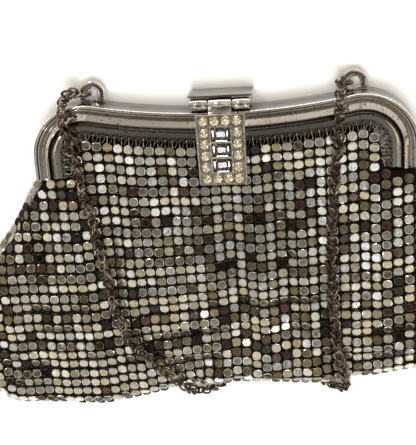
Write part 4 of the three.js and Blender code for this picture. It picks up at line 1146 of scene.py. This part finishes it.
def prong_shape(long, wide, thick, bow):
    """A short strap bowed up in the middle."""
    y = np.linspace(-long / 2, long / 2, 4)
    rise = bow * (1 - (2 * y / long) ** 2)
    section = np.array([(-1, -1), (1, -1), (1, 1), (-1, 1)]) * (wide / 2, thick / 2)
    points = np.array([[(sx, py, sz + pz) for sx, sz in section] for py, pz in zip(y, rise)])
    near = np.arange(4)[None]
    far = near[:, ::-1] + 3 * 4
    return points.reshape(-1, 3), [grid_faces(4, 4, wrap_columns=True), near, far]


# %% Tiles, rings and prongs of one face
TONES = np.array([
    (0.80, 0.79, 0.76),
    (0.70, 0.68, 0.62),
    (0.72, 0.67, 0.53),
    (0.46, 0.41, 0.29),
    (0.23, 0.19, 0.125),
    (0.20, 0.115, 0.10),
    (0.07, 0.06, 0.055),
])
TONE_SHARES = (0.36, 0.32, 0.18, 0.06, 0.03, 0.02, 0.03)
# Tiles that tip to the purse's head by more than this slope get painted shade: mostly dark tones
SHADED_SLOPE = 0.13
SHADED_SHARES = (0.07, 0.15, 0.15, 0.22, 0.22, 0.06, 0.13)
SLOPE_SPREAD, TONE_SPREAD = 0.04, 0.05
# Tiles whose faces point up by less than this share get painted shade: they would mirror the bright table
STEEP, STEEP_TONE = 0.75, 0.45
# Patches of painted shade: middle, half width and half height in mm, and how much tone they lose
SHADED_PATCHES = [(8.0, -48.0, 26.0, 32.0, 0.36), (-32.0, -55.0, 18.0, 26.0, 0.14)]


def tile_tones(axes, centres):
    """One colour for each tile, with painted shade where the mesh turns away into a fold, where it stands
    steep, and in a few patches.
    """
    count = len(axes)
    picks = random.choice(len(TONES), count, p=TONE_SHARES)
    shaded = random.choice(len(TONES), count, p=SHADED_SHARES)
    away = axes[:, 1, 2] + random.normal(0, SLOPE_SPREAD, count) > SHADED_SLOPE
    tone = TONES[np.where(away, shaded, picks)] * random.normal(1, TONE_SPREAD, (count, 1))
    steep = np.abs(axes[:, 2, 2]) < STEEP
    tone = tone * np.where(steep, STEEP_TONE, 1.0)[:, None]
    for x, y, wide, high, depth in SHADED_PATCHES:
        from_middle = ((centres[:, 0] - x) / wide) ** 2 + ((centres[:, 1] - y) / high) ** 2
        tone = tone * (1 - depth * np.exp(-from_middle ** 2))[:, None]
    return np.repeat(np.clip(tone, 0, 1), len(tile_shape()[0]), axis=0)


def undulation(centres):
    """Leans of the mesh's loose surface, the same over a few neighbours: two slow waves each way."""
    x, y = centres[:, 0], centres[:, 1]
    lean_u = 0.050 * np.sin(x / 5.3 + 1.1 * np.sin(y / 11.0)) + 0.040 * np.sin(y / 8.7 + x / 13.0 + 2.0)
    lean_v = 0.055 * np.sin(y / 4.9 + 1.3 * np.sin(x / 14.0) + 1.0) + 0.035 * np.sin(x / 7.1 - y / 9.0)
    return np.stack([lean_u, lean_v])


def stack_places(axes, centres):
    """Places for copies: three axes as columns, and a centre."""
    return np.concatenate([axes, centres[:, :, None]], axis=2)


# How the tiles stray: their leans, the share that hang loose and lean more, their turns and their sizes
LEAN_SPREAD = 0.030
LOOSE_SHARE, LOOSE_SPREAD = 0.14, 0.11
SPIN_SPREAD = 0.035
SIZE_SPREAD = 0.008
# Rings at the corners: radius and wire. Prongs: long, wide, thick and bow, and their set from the middle
CORNER_RING = (0.78, 0.17)
PRONG = (1.5, 0.26, 0.16, 0.12)
PRONG_OFFSET = 0.42


def linked_face(is_front, name):
    """Builds one face of the bag: its tiles, the rings at their corners and the prongs between rows."""
    grid = tile_rows(is_front)
    shown = ~np.isnan(grid[:, :, 0])
    centres = grid[shown]
    axes = surface_axes(centres, is_front)
    count = len(centres)
    lean = undulation(centres) + random.normal(0, LEAN_SPREAD, (2, count))
    loose = random.random(count) < LOOSE_SHARE
    lean[:, loose] += random.normal(0, LOOSE_SPREAD, (2, loose.sum()))
    tipped = turned(axes, lean[0], lean[1], random.normal(0, SPIN_SPREAD, count))
    size = 1 + random.normal(0, SIZE_SPREAD, count)
    tiles = Shell().copies(*tile_shape(), stack_places(tipped * size[:, None, None], centres))
    tint = tile_tones(tipped, centres)
    nodes = ["mesh_bag"] if is_front else []
    add_piece(f"mesh_tiles_{name}", tiles, TILE, nodes, tint=tint, smooth=12)

    full_axes = np.full((*shown.shape, 3, 3), np.nan)
    full_axes[shown] = axes
    corner_at = (grid[:-1, :-1] + grid[1:, :-1] + grid[:-1, 1:] + grid[1:, 1:]) / 4
    corner_axes = (full_axes[:-1, :-1] + full_axes[1:, 1:]) / 2
    whole = ~np.isnan(corner_at[..., 0])
    at, turn_axes = corner_at[whole], corner_axes[whole]
    turn_axes = turn_axes / np.linalg.norm(turn_axes, axis=1, keepdims=True)
    at = at - turn_axes[:, :, 2] * (0.75 * TILE_THICK)
    rings = Shell().copies(*ring_shape(*CORNER_RING, 10, 4), stack_places(turn_axes, at))
    half = (grid[:-1] + grid[1:]) / 2
    half_axes = full_axes[:-1]
    whole = ~np.isnan(half[..., 0])
    at, turn_axes = half[whole], half_axes[whole]
    for offset in (-PRONG_OFFSET, PRONG_OFFSET):
        moved = at + turn_axes[:, :, 0] * offset - turn_axes[:, :, 2] * (0.42 * TILE_THICK)
        rings.copies(*prong_shape(*PRONG), stack_places(turn_axes, moved))
    add_piece(f"mesh_rings_{name}", rings, RINGS, smooth=60)


def edge_line():
    """The doubled edge in plan, from the left arm round the foot to the right arm."""
    left = np.linspace(-MESH_START - 1, -BAG_LEFT, 120)
    low = np.linspace(-BAG_LEFT, BAG_RIGHT, 300)
    right = np.linspace(BAG_RIGHT, MESH_START + 1, 120)
    return np.concatenate([
        np.stack([left, upper_edge(left)], 1),
        np.stack([low, lower_edge(low)], 1),
        np.stack([right, upper_edge(right)], 1),
    ])


# The edge tiles: tilt out of the plan and its spread in radians, distance outwards in mm, share of a tile's
# height, and share of its tone kept under painted shade
EDGE_TILT = math.radians(60)
EDGE_SPREAD = 0.08
EDGE_OUT = 0.95
EDGE_SQUEEZE = 0.82
EDGE_TILE_SHADE = 0.75


def edge_tiles():
    """A row of tiles round the edge, where the mesh turns over from the front to the back."""
    line = edge_line()
    flat = np.column_stack([line, np.zeros(len(line))])
    length = np.linalg.norm(np.diff(flat, axis=0), axis=1).sum()
    points, ahead, _ = even_points(flat, int(length / COLUMN_PITCH))
    outward = np.cross((0.0, 0.0, 1.0), ahead)
    inward = np.sum(outward * (points - points.mean(axis=0)), axis=1) < 0
    outward = np.where(inward[:, None], -outward, outward)
    front, back = bag_heights(points[:, 0], points[:, 1])
    points = points + EDGE_OUT * outward
    points[:, 2] = (front + back) / 2
    tilt = EDGE_TILT + random.normal(0, EDGE_SPREAD, len(points))[:, None]
    out = unit(outward * np.cos(tilt) + np.array([0, 0, 1.0]) * np.sin(tilt))
    along = unit(np.cross((0.0, 0.0, 1.0), outward))
    up_tile = np.cross(out, along) * EDGE_SQUEEZE
    places = stack_places(np.stack([along, up_tile, out], axis=2), points)
    tiles = Shell().copies(*tile_shape(), places)
    # Painted shade: the edge tiles are darkened as a whole
    tint = tile_tones(places[:, :, :3], points) * EDGE_TILE_SHADE
    add_piece("mesh_tiles_edge", tiles, TILE, tint=tint, smooth=12)


linked_face(True, "front")
linked_face(False, "back")
edge_tiles()


# %% [markdown]
# ## The web behind the tiles
# Seen through the gaps between the tiles is the darkened web of rings and the shade inside the bag. One
# dark skin stands for it, a little behind the tiles, open at the mouth as the bag is.

# %% Web
WEB_INSET = 1.3
WEB_BEHIND = 1.0
WEB_HALF = 0.05


def web():
    """Loops from the mouth down the front, round the lower edge and up the back, column by column."""
    columns = np.linspace(-BAG_LEFT + WEB_INSET, BAG_RIGHT - WEB_INSET, 110)
    share = (0.5 - 0.5 * np.cos(np.pi * np.linspace(0, 1, 60)))[None]
    top, low = upper_edge(columns)[:, None], lower_edge(columns)[:, None]
    inset_top = np.where(np.abs(columns) < MESH_START, 0.0, WEB_INSET)[:, None]
    y = (top - inset_top) * (1 - share) + (low + WEB_INSET) * share
    x = np.broadcast_to(columns[:, None], y.shape)
    front, back = bag_heights(x, y)
    middle = (front + back) / 2
    upper = np.stack([x, y, np.maximum(front - WEB_BEHIND, middle + WEB_HALF)], axis=-1)
    under = np.stack([x, y, np.minimum(back + WEB_BEHIND, middle - WEB_HALF)], axis=-1)
    loops = np.concatenate([upper, under[:, ::-1]], axis=1)
    shell = Shell().grid(loops)
    for k in (0, len(columns) - 1):
        strip = np.stack([upper[k], under[k]], axis=0)
        shell.grid(strip, flip=k == 0)
    for k in range(len(columns) - 1):
        if abs(columns[k]) >= MESH_START and abs(columns[k + 1]) >= MESH_START:
            shell.grid(np.stack([[upper[k, 0], upper[k + 1, 0]], [under[k, 0], under[k + 1, 0]]]))
    add_piece("mesh_web", shell, WEB, smooth=180)


web()

# %% [markdown]
# ## Flat pieces with eased edges
# The flap, its channel and the cover plate are flat metal with eased edges. Each is an outline carried
# through a profile of (inset, height) steps; an outline's inset moves its points along their normals.


# %% Outlines and slabs
def rounded_outline(corners, radius, steps=5):
    """Points and outward normals round a convex outline with round corners, anticlockwise."""
    corners = np.asarray(corners, dtype=float)
    before = unit(np.roll(corners, 1, axis=0) - corners)
    after = unit(np.roll(corners, -1, axis=0) - corners)
    half = np.arccos(np.sum(before * after, axis=1)) / 2
    middle = corners + unit(before + after) * (radius / np.sin(half))[:, None]
    normal_in = np.stack([-before[:, 1], before[:, 0]], axis=1)
    normal_out = np.stack([after[:, 1], -after[:, 0]], axis=1)
    start = np.arctan2(normal_in[:, 1], normal_in[:, 0])
    sweep = np.mod(np.arctan2(normal_out[:, 1], normal_out[:, 0]) - start, 2 * np.pi)
    turns = start[:, None] + sweep[:, None] * np.linspace(0, 1, steps)[None]
    normals = np.stack([np.cos(turns), np.sin(turns)], axis=-1)
    points = middle[:, None] + radius * normals
    return points.reshape(-1, 2), normals.reshape(-1, 2)


def add_slab(shell, shape, profile, place=None, capped=True):
    """Carries the outline through (inset, height) steps, first step lowest on the outside; caps both ends.
    place turns (across, up, height) into (x, y, z)."""
    points, normals = shape
    profile = np.asarray(profile, dtype=float)
    flat = points[None] - normals[None] * profile[:, :1, None]
    height = np.broadcast_to(profile[:, 1, None, None], (*flat.shape[:2], 1))
    rings = np.concatenate([flat, height], axis=-1)
    count = rings.shape[1]
    faces = [grid_faces(len(profile), count, wrap_columns=True)[:, ::-1]]
    if capped:
        ends = np.arange(count)
        faces += [ends[None, ::-1], ends[None] + (len(profile) - 1) * count]
    rings = rings if place is None else place(rings)
    shell.add(rings, faces)


def rectangle(x0, x1, y0, y1):
    """Corners of an upright rectangle, counter-clockwise."""
    return [(x0, y0), (x1, y0), (x1, y1), (x0, y1)]


def standing(rings):
    """Turns a slab's (across, up, height) so that its face looks to the purse's top."""
    return np.stack([-rings[..., 0], rings[..., 2], rings[..., 1]], axis=-1)


def eased(low, high, edge):
    """Profile of a plate from low to high with its edges eased by a quarter-round."""
    part = 0.29 * edge
    below = [(edge, low), (part, low + part), (0.0, low + edge)]
    return below + [(0.0, high - edge), (part, high - part), (edge, high)]


# %% [markdown]
# ## The clasp's hinge
# A block on the back half of the frame carries two knuckles and a cover plate that is bent over the top. The
# flap has the middle knuckle, and one pin runs through all three.

# %% Hinge block, knuckles and pin
HINGE_WIDTH = 24.4
PIN_Y, PIN_Z = 2.9, FRAME_DEPTH - 2.1
KNUCKLE_RADIUS = 2.3
KNUCKLE_SPAN = 8.7 / 2
KNUCKLE_GAP = 0.45
COVER_SHEET = 0.9
COVER_LOW, COVER_HIGH = 0.6, 14.0
COVER_Y = PIN_Y + KNUCKLE_RADIUS + 0.5
PIN_RADIUS = 0.9
HINGE_TONE, COVER_TONE = 0.8, 0.34


def clasp_base():
    """The hinge block on the frame's top: cover plate, knuckles and pin."""
    half = HINGE_WIDTH / 2
    rise = BAR_RADIUS - math.sqrt(BAR_RADIUS ** 2 - half ** 2)
    base = Shell()
    block = rounded_outline(rectangle(-half + 1, half - 1, rise + CLEAR, COVER_Y + 0.1), 0.3)
    add_slab(base, block, eased(1.0, MID_Z + 2.4, 0.2))
    cover = rounded_outline(rectangle(-half, half, COVER_LOW, COVER_HIGH), 1.3, 8)
    before = base.count
    add_slab(base, cover, eased(COVER_Y, COVER_Y + COVER_SHEET, 0.28), standing)
    darker_cover = slice(before, base.count)
    for hand in (-1, 1):
        low, high = sorted((hand * (KNUCKLE_SPAN + KNUCKLE_GAP), hand * (half - 1)))
        lathe_x(base, disc_profile(low, high, KNUCKLE_RADIUS, 0.22), PIN_Y, PIN_Z, 40)
        web_plate = rounded_outline(rectangle(low, high, rise + CLEAR, COVER_Y + 0.1), 0.25)
        add_slab(base, web_plate, eased(MID_Z + 2, PIN_Z - 0.3, 0.15))
    tint = np.full((base.count, 3), HINGE_TONE)
    # The cover plate gets a darker tone than the rest of the hinge
    tint[darker_cover] = COVER_TONE
    add_piece("clasp_hinge", base, NICKEL, ["clasp_base"], smooth=50, tint=tint)
    pin = Shell()
    reach = half - 1 + 0.25
    tip = [(-reach, 0), (-reach, PIN_RADIUS * 0.6), (-reach + 0.25, PIN_RADIUS)]
    lathe_x(pin, tip + [(-x, r) for x, r in tip[::-1]], PIN_Y, PIN_Z, 24)
    add_piece("clasp_hinge_pin", pin, NICKEL, ["clasp_pin"])


clasp_base()

# %% [markdown]
# ## The flap
# A plate with a raised rim, gilt inside. A raised channel down its middle holds three step-cut stones with
# gilt bars between; round stones in four small prongs each stand all round it.

# %% Flap
FLAP_TOP_WIDTH, FLAP_END_WIDTH, FLAP_LENGTH = 18.6, 18.0, 27.2
FLAP_TOP_Y = -0.1
FLAP_UNDER = FRAME_DEPTH + CLEAR
FLAP_BED = FLAP_UNDER + 1.0
RIM, RIM_HIGH = 0.55, 1.1
CHANNEL_WALL, CHANNEL_HIGH = 0.6, 1.4
FOIL_TINT = (0.10, 0.10, 0.12)
STONE_WIDTH, STONE_HIGH = 3.5, 1.7
STEP_STONE_WIDTH, STEP_STONE_HIGH = 6.2, 1.5
STONE_ROWS, STONE_COLUMNS = 6, 4
STONE_GAP, STONE_SIDE_INSET = 0.2, 0.45
STEP_STONES, STEP_BAR = 3, 0.7
STONE_MARGIN = RIM + STONE_GAP + STONE_WIDTH / 2
FIRST_ROW = FLAP_TOP_Y - STONE_MARGIN
LAST_ROW = FLAP_TOP_Y - FLAP_LENGTH + STONE_MARGIN
CHANNEL_TOP = FIRST_ROW - STONE_WIDTH / 2 - STONE_GAP
CHANNEL_END = LAST_ROW + STONE_WIDTH / 2 + STONE_GAP


def stone_reach(y):
    """Half the distance between the two side rows of stones."""
    share = (FLAP_TOP_Y - y) / FLAP_LENGTH
    width = FLAP_TOP_WIDTH + (FLAP_END_WIDTH - FLAP_TOP_WIDTH) * share
    return width / 2 - STONE_MARGIN - STONE_SIDE_INSET


CHANNEL_HALF = stone_reach(LAST_ROW) - STONE_WIDTH / 2 - STONE_GAP
STEP_ROOM = (CHANNEL_TOP - CHANNEL_END - 2 * CHANNEL_WALL - (STEP_STONES - 1) * STEP_BAR) / STEP_STONES


def flap_corners():
    """Corners of the flap in plan, a little narrower at its end."""
    top, end = FLAP_TOP_WIDTH / 2, FLAP_END_WIDTH / 2
    low = FLAP_TOP_Y - FLAP_LENGTH
    return [(-end, low), (end, low), (top, FLAP_TOP_Y), (-top, FLAP_TOP_Y)]


def wall_profile(low, high, thick, edge=0.14):
    """A wall's outside, rounded top and inside, as (inset, height)."""
    return [(0, low), (0, high - edge), (edge * 0.4, high - edge * 0.3), (edge, high), (thick - edge, high),
            (thick - edge * 0.4, high - edge * 0.3), (thick, high - edge), (thick, low)]


def step_top(order):
    """The upper end of a step-cut stone's room in the channel."""
    return CHANNEL_TOP - CHANNEL_WALL - order * (STEP_ROOM + STEP_BAR)


def flap_metal():
    """Builds the flap's rim, knuckle and channel, and starts the shell of its bed."""
    rim_top = FLAP_BED + RIM_HIGH
    shape = rounded_outline(flap_corners(), 0.9, 7)
    rim = Shell()
    outside = [(0.25, FLAP_UNDER), (0.07, FLAP_UNDER + 0.07), (0, FLAP_UNDER + 0.25)]
    inside = wall_profile(FLAP_UNDER + 0.25, rim_top, RIM)[1:-1] + [(RIM, FLAP_BED + 0.02)]
    add_slab(rim, shape, outside + inside)
    knuckle = disc_profile(-KNUCKLE_SPAN, KNUCKLE_SPAN, KNUCKLE_RADIUS, 0.22)
    lathe_x(rim, knuckle, PIN_Y, PIN_Z, 40)
    leaf = rounded_outline(rectangle(-KNUCKLE_SPAN, KNUCKLE_SPAN, FLAP_TOP_Y - 0.2, PIN_Y), 0.2)
    add_slab(rim, leaf, eased(FLAP_UNDER - 0.6, FLAP_UNDER + 0.3, 0.12))
    channel_top = FLAP_BED + CHANNEL_HIGH
    frame_shape = rounded_outline(rectangle(-CHANNEL_HALF, CHANNEL_HALF, CHANNEL_END, CHANNEL_TOP), 0.5)
    add_slab(rim, frame_shape, wall_profile(FLAP_BED, channel_top, CHANNEL_WALL), capped=False)
    inner = CHANNEL_HALF - CHANNEL_WALL + 0.05
    before = rim.count
    for order in range(STEP_STONES):
        y = step_top(order)
        foil = rounded_outline(rectangle(-inner, inner, y - STEP_ROOM, y), 0.1)
        add_slab(rim, foil, [(0, FLAP_BED), (0, FLAP_BED + 0.12)])
    tint = np.ones((rim.count, 3))
    tint[before:] = FOIL_TINT
    add_piece("flap_rim", rim, NICKEL, ["clasp_flap"], body="flap", smooth=50, tint=tint)

    bed = Shell()
    add_slab(bed, shape, [(RIM - 0.02, FLAP_BED - 0.1), (RIM - 0.02, FLAP_BED + 0.06)])
    for order in range(STEP_STONES - 1):
        y = step_top(order) - STEP_ROOM
        bar = rounded_outline(rectangle(-inner, inner, y - STEP_BAR, y), 0.12)
        add_slab(bed, bar, eased(FLAP_BED, channel_top - 0.15, 0.12))
    return bed


def dome(radius, high, sides=8, rings=3):
    """A small rounded bead on a flat foot."""
    turns = np.linspace(0, 2 * np.pi, sides, endpoint=False)
    steps = np.linspace(0, np.pi / 2, rings + 1)[:-1]
    levels = [np.stack([radius * math.cos(s) * np.cos(turns), radius * math.cos(s) * np.sin(turns),
                        np.full(sides, high * math.sin(s))], axis=1) for s in steps]
    ends = np.arange(sides)
    last = (rings - 1) * sides
    tip = np.stack([ends + last, (ends + 1) % sides + last, np.full(sides, rings * sides)], axis=1)
    walls = grid_faces(rings, sides, wrap_columns=True)[:, ::-1]
    return np.concatenate([*levels, [[0, 0, high]]]), [walls, tip, ends[None, ::-1]]


def stone_places():
    """Centres of the round stones, row by row from the flap's top."""
    places = []
    for row in range(STONE_ROWS):
        y = FIRST_ROW + (LAST_ROW - FIRST_ROW) * row / (STONE_ROWS - 1)
        across = STONE_COLUMNS if row in (0, STONE_ROWS - 1) else 2
        places += [(x, y) for x in np.linspace(-stone_reach(y), stone_reach(y), across)]
    return np.array(places)


STONES = stone_places()
STONE_SEAT = FLAP_BED + 0.62 * STONE_HIGH + 0.1
GIRDLE_TOP = STONE_SEAT + 0.04 * STONE_HIGH


def set_at(points):
    """Upright places for small copies."""
    return stack_places(np.broadcast_to(np.eye(3), (len(points), 3, 3)), np.asarray(points))


flap_bed = flap_metal()
# Each stone's four prongs: set from its middle both ways, radius, and rise over the girdle
PRONG_SET, PRONG_RADIUS, PRONG_RISE = 0.72 * (STONE_WIDTH / 2 * 0.98), 0.36, 0.32
corners = [(dx, dy) for dx in (-PRONG_SET, PRONG_SET) for dy in (-PRONG_SET, PRONG_SET)]
prongs = [(x + dx, y + dy, FLAP_BED) for x, y in STONES for dx, dy in corners]
flap_bed.copies(*dome(PRONG_RADIUS, GIRDLE_TOP - FLAP_BED + PRONG_RISE), set_at(prongs))
# The ring that each stone sits on
SEAT_RADIUS, SEAT_WIRE, SEAT_DROP = STONE_WIDTH / 2 - 0.1, 0.2, 0.32
seats = ring_shape(SEAT_RADIUS, SEAT_WIRE, 20, 6)
flap_bed.copies(*seats, set_at([(x, y, STONE_SEAT - SEAT_DROP) for x, y in STONES]))
# Gilt grains on the bed: how many, and their least distance from the flap's edge, the channel and a stone
GRAINS, GRAIN_INSET, GRAIN_APART, GRAIN_FROM_STONE = 230, 0.9, 0.15, 0.12
grain_reach = FLAP_END_WIDTH / 2 - GRAIN_INSET
grain_x = random.uniform(-grain_reach, grain_reach, GRAINS * 4)
grain_y = random.uniform(FLAP_TOP_Y - FLAP_LENGTH + GRAIN_INSET, FLAP_TOP_Y - GRAIN_INSET, GRAINS * 4)
clear_of_stones = nearest(grain_x, grain_y, STONES) > STONE_WIDTH / 2 + GRAIN_FROM_STONE
beside = np.abs(grain_x) > CHANNEL_HALF + GRAIN_APART
beyond = (grain_y > CHANNEL_TOP + GRAIN_APART) | (grain_y < CHANNEL_END - GRAIN_APART)
kept = np.flatnonzero(clear_of_stones & (beside | beyond))[:GRAINS]
grains = np.stack([grain_x[kept], grain_y[kept], np.full(len(kept), FLAP_BED + 0.02)], axis=1)
flap_bed.copies(*dome(0.2, 0.42, 6, 2), set_at(grains))
add_piece("flap_bed", flap_bed, GILT, body="flap", smooth=50)

# %% [markdown]
# ## The stones
# The round stones are cut as brilliants: a flat table, sloping crown facets, a thin girdle and a pointed
# pavilion that throws light back. The long ones are step-cut. The glass is clear with a foil's warm tint.


# %% Stones
def clear_glass():
    """Old clear glass with a foil behind it: the light that comes back is a little warm."""
    glass = {"Transmission Weight": 1.0, "IOR": 1.62}
    finish = Finish("clear_stone", (1.0, 0.975, 0.90), 0.02, metallic=0.0, **glass)
    smear = finish.noise(800, 3)
    finish.use("Roughness", finish.spread(smear, 0.4, 0.8, 0.0, 0.12))
    return finish.material


GLASS = clear_glass()
FACETS = 8


def brilliant(radius, high):
    """Rings of points: culet, lower girdle, upper girdle, crown and table, turned by half a facet in turn."""
    def ring(size, z, shift, sides=FACETS):
        turns = (np.arange(sides) + shift) * 2 * np.pi / sides
        across = size * radius * np.stack([np.cos(turns), np.sin(turns)], axis=1)
        return np.column_stack([across, np.full(sides, z * high)])

    points = np.concatenate([
        [[0, 0, -0.62 * high]],
        ring(1.0, -0.08, 0, 2 * FACETS),
        ring(1.0, 0.04, 0, 2 * FACETS),
        ring(0.80, 0.26, 0.5),
        ring(0.56, 0.38, 0),
    ])
    # Where the upper girdle, the crown and the table begin among the points
    upper_at, crown_at, table_at = 1 + 2 * FACETS, 1 + 4 * FACETS, 1 + 5 * FACETS
    k = np.arange(2 * FACETS)
    n = (k + 1) % (2 * FACETS)
    pavilion = np.stack([0 * k, 1 + n, 1 + k], axis=1)
    girdle = np.stack([1 + k, 1 + n, upper_at + n, upper_at + k], axis=1)
    j = np.arange(FACETS)
    m = (j + 1) % FACETS
    even, after = upper_at + 2 * j, upper_at + (2 * j + 2) % (2 * FACETS)
    odd = even + 1
    crown, table = crown_at + j, table_at + j
    low = np.concatenate([np.stack([even, odd, crown], 1), np.stack([odd, after, crown], 1)])
    star = np.stack([crown, table_at + m, table], axis=1)
    kite = np.stack([after, crown_at + m, table_at + m, crown], axis=1)
    return points, [pavilion, girdle, low, star, kite, table[None]]


def step_cut(wide, long, high):
    """Levels of an eight-sided outline: keel, girdle, three steps of the crown and the table."""
    levels = ((-0.55, 0.62), (-0.3, 0.28), (-0.05, 0.0), (0.05, 0.0), (0.2, 0.1), (0.34, 0.22), (0.45, 0.38))
    rings = []
    for z, shrink in levels:
        x, y = wide / 2 * (1 - shrink * long / wide), long / 2 * (1 - shrink)
        cut = 0.16 * long * (1 - shrink)
        ring = [(x, -y + cut), (x, y - cut), (x - cut, y), (-x + cut, y)]
        ring += [(-px, -py) for px, py in ring]
        rings.append([(px, py, z * high) for px, py in ring])
    ends = np.arange(8)
    faces = grid_faces(len(levels), 8, wrap_columns=True)[:, ::-1]
    return np.array(rings).reshape(-1, 3), [faces, ends[None, ::-1], ends[None] + 8 * (len(levels) - 1)]


for order, (x, y) in enumerate(STONES):
    name = f"stone_round_{order + 1:02d}"
    stone = Shell()
    turn_by = random.uniform(0, np.pi / 4)
    cos, sin = math.cos(turn_by), math.sin(turn_by)
    spun = np.array([[cos, -sin, 0], [sin, cos, 0], [0, 0, 1]])
    points, faces = brilliant(STONE_WIDTH / 2, STONE_HIGH)
    stone.add(points @ spun.T + (x, y, STONE_SEAT), faces)
    add_piece(name + "_cut", stone, GLASS, [name], body="flap", smooth=1)
step_wide = min(STEP_STONE_WIDTH, 2 * (CHANNEL_HALF - CHANNEL_WALL) - 0.3)
for order in range(STEP_STONES):
    name = f"stone_step_{order + 1}"
    points, faces = step_cut(step_wide, STEP_ROOM - 0.3, STEP_STONE_HIGH)
    seat = (0, step_top(order) - STEP_ROOM / 2, FLAP_BED + 0.55 * STEP_STONE_HIGH + 0.1)
    stone = Shell().add(points + seat, faces)
    add_piece(name + "_cut", stone, GLASS, [name], body="flap", smooth=1)

# %% [markdown]
# ## The chain and its eyes
# Two flat eyes stand on the frame's top. A ring in each carries the chain: a rope of small oval links, each
# leaning across the rope and turned a little further round it than the last, so that pairs of them show as
# slanting strands.

# %% Eyes and rings
LUG_X, LUG_WIDTH, LUG_HIGH, LUG_THICK, LUG_HOLE, LUG_Z = 50.0, 10.0, 7.2, 2.2, 2.2, 4.5
RING_RADIUS, RING_WIRE = 2.9, 0.65
LUG_HOLE_Y = CORNER_Y + CORNER_RADIUS + CLEAR + LUG_HIGH - LUG_WIDTH / 2


def foot_height(x):
    """The height of the frame's outer edge under an eye."""
    on_bar = BAR_RADIUS - np.sqrt(BAR_RADIUS ** 2 - x * x)
    on_corner = CORNER_Y + np.sqrt(np.maximum(0, CORNER_RADIUS ** 2 - (x - CORNER_X) ** 2))
    return np.where(x < BAR_RADIUS * math.sin(SWEEP), on_bar, on_corner)


def eye(hand):
    """A surface of two parameters: the turn about the hole, and a walk round the bar's section."""
    turns = np.linspace(0, 2 * np.pi, 96, endpoint=False)
    cos, sin = np.cos(turns), np.sin(turns)
    half = LUG_WIDTH / 2
    arch = np.stack([half * cos, LUG_HOLE_Y + half * sin], axis=1)
    drop = LUG_HOLE_Y - foot_height(LUG_X + hand * half * np.clip(cos / np.maximum(-sin, 0.2), -1, 1)) - CLEAR
    reach = np.minimum(half / np.maximum(np.abs(cos), 1e-6), drop / np.maximum(-sin, 1e-6))
    foot = np.stack([reach * cos, LUG_HOLE_Y + reach * sin], axis=1)
    outer = np.where((sin < 0)[:, None], foot, arch)
    inner = np.stack([LUG_HOLE * cos, LUG_HOLE_Y + LUG_HOLE * sin], axis=1)
    thick = LUG_THICK / 2
    front = [(0.0, thick - 0.5), (0.06, thick - 0.15), (0.2, thick)]
    front += [(1 - share, height) for share, height in front[::-1]]
    walk = front + [(share, -height) for share, height in front[::-1]]
    rings = []
    for share, height in walk:
        rings.append(np.column_stack([outer + (inner - outer) * share, np.full(len(turns), height)]))
    points = np.array(rings) + (hand * LUG_X, 0, LUG_Z)
    return Shell().grid(points, wrap_rows=True, wrap_columns=True, flip=True)


for hand, name in ((-1, "left"), (1, "right")):
    add_piece(f"chain_eye_{name}", eye(hand), NICKEL, [f"chain_lug_{name}"])
    leg = LUG_WIDTH / 2 - (LUG_WIDTH / 2 - LUG_HOLE) / 2
    middle = (hand * LUG_X - leg, LUG_HOLE_Y, LUG_Z)
    ring_at = np.column_stack([(1.0, 0.0, 0.0), (0.0, 0.0, 1.0), (0.0, -1.0, 0.0), middle])[None]
    ring = Shell().copies(*ring_shape(RING_RADIUS, RING_WIRE, 40, 12), ring_at)
    add_piece(f"chain_end_ring_{name}", ring, CHAIN, [f"chain_ring_{name}"], smooth=180)

# %% Links
# Found by trial, so that no ring touches the next five: the chain's radius holds ring, shift and wire
LINK_PITCH = 1.68
LINK_RADIUS = 1.74
LINK_WIRE = 0.56
LINK_LEAN = math.radians(60.1)
LINK_TURN = math.radians(199.2)
LINK_SHIFT = -0.99
LINK_SQUEEZE = 0.70


def rope_links():
    """Places of the links: each leans to the other side than the last, set off from the rope's middle, and
    every pair is turned on a little, which makes the two strands wind about each other."""
    count = int(np.linalg.norm(np.diff(ROUTE, axis=0), axis=1).sum() / LINK_PITCH)
    points, ahead, _ = even_points(ROUTE, count)
    across, over = carried_axes(ahead)
    turns = (np.arange(count) * LINK_TURN)[:, None]
    side = np.cos(turns) * across + np.sin(turns) * over
    out = math.cos(LINK_LEAN) * ahead + math.sin(LINK_LEAN) * side
    first = unit(np.cross(ahead, out))
    axes = np.stack([first * LINK_SQUEEZE, np.cross(out, first), out], axis=2)
    return stack_places(axes, points + LINK_SHIFT * side)


rope = Shell().copies(*ring_shape(LINK_RADIUS, LINK_WIRE, 20, 8), rope_links())
add_piece("rope_chain", rope, CHAIN, ["chain"], smooth=180)
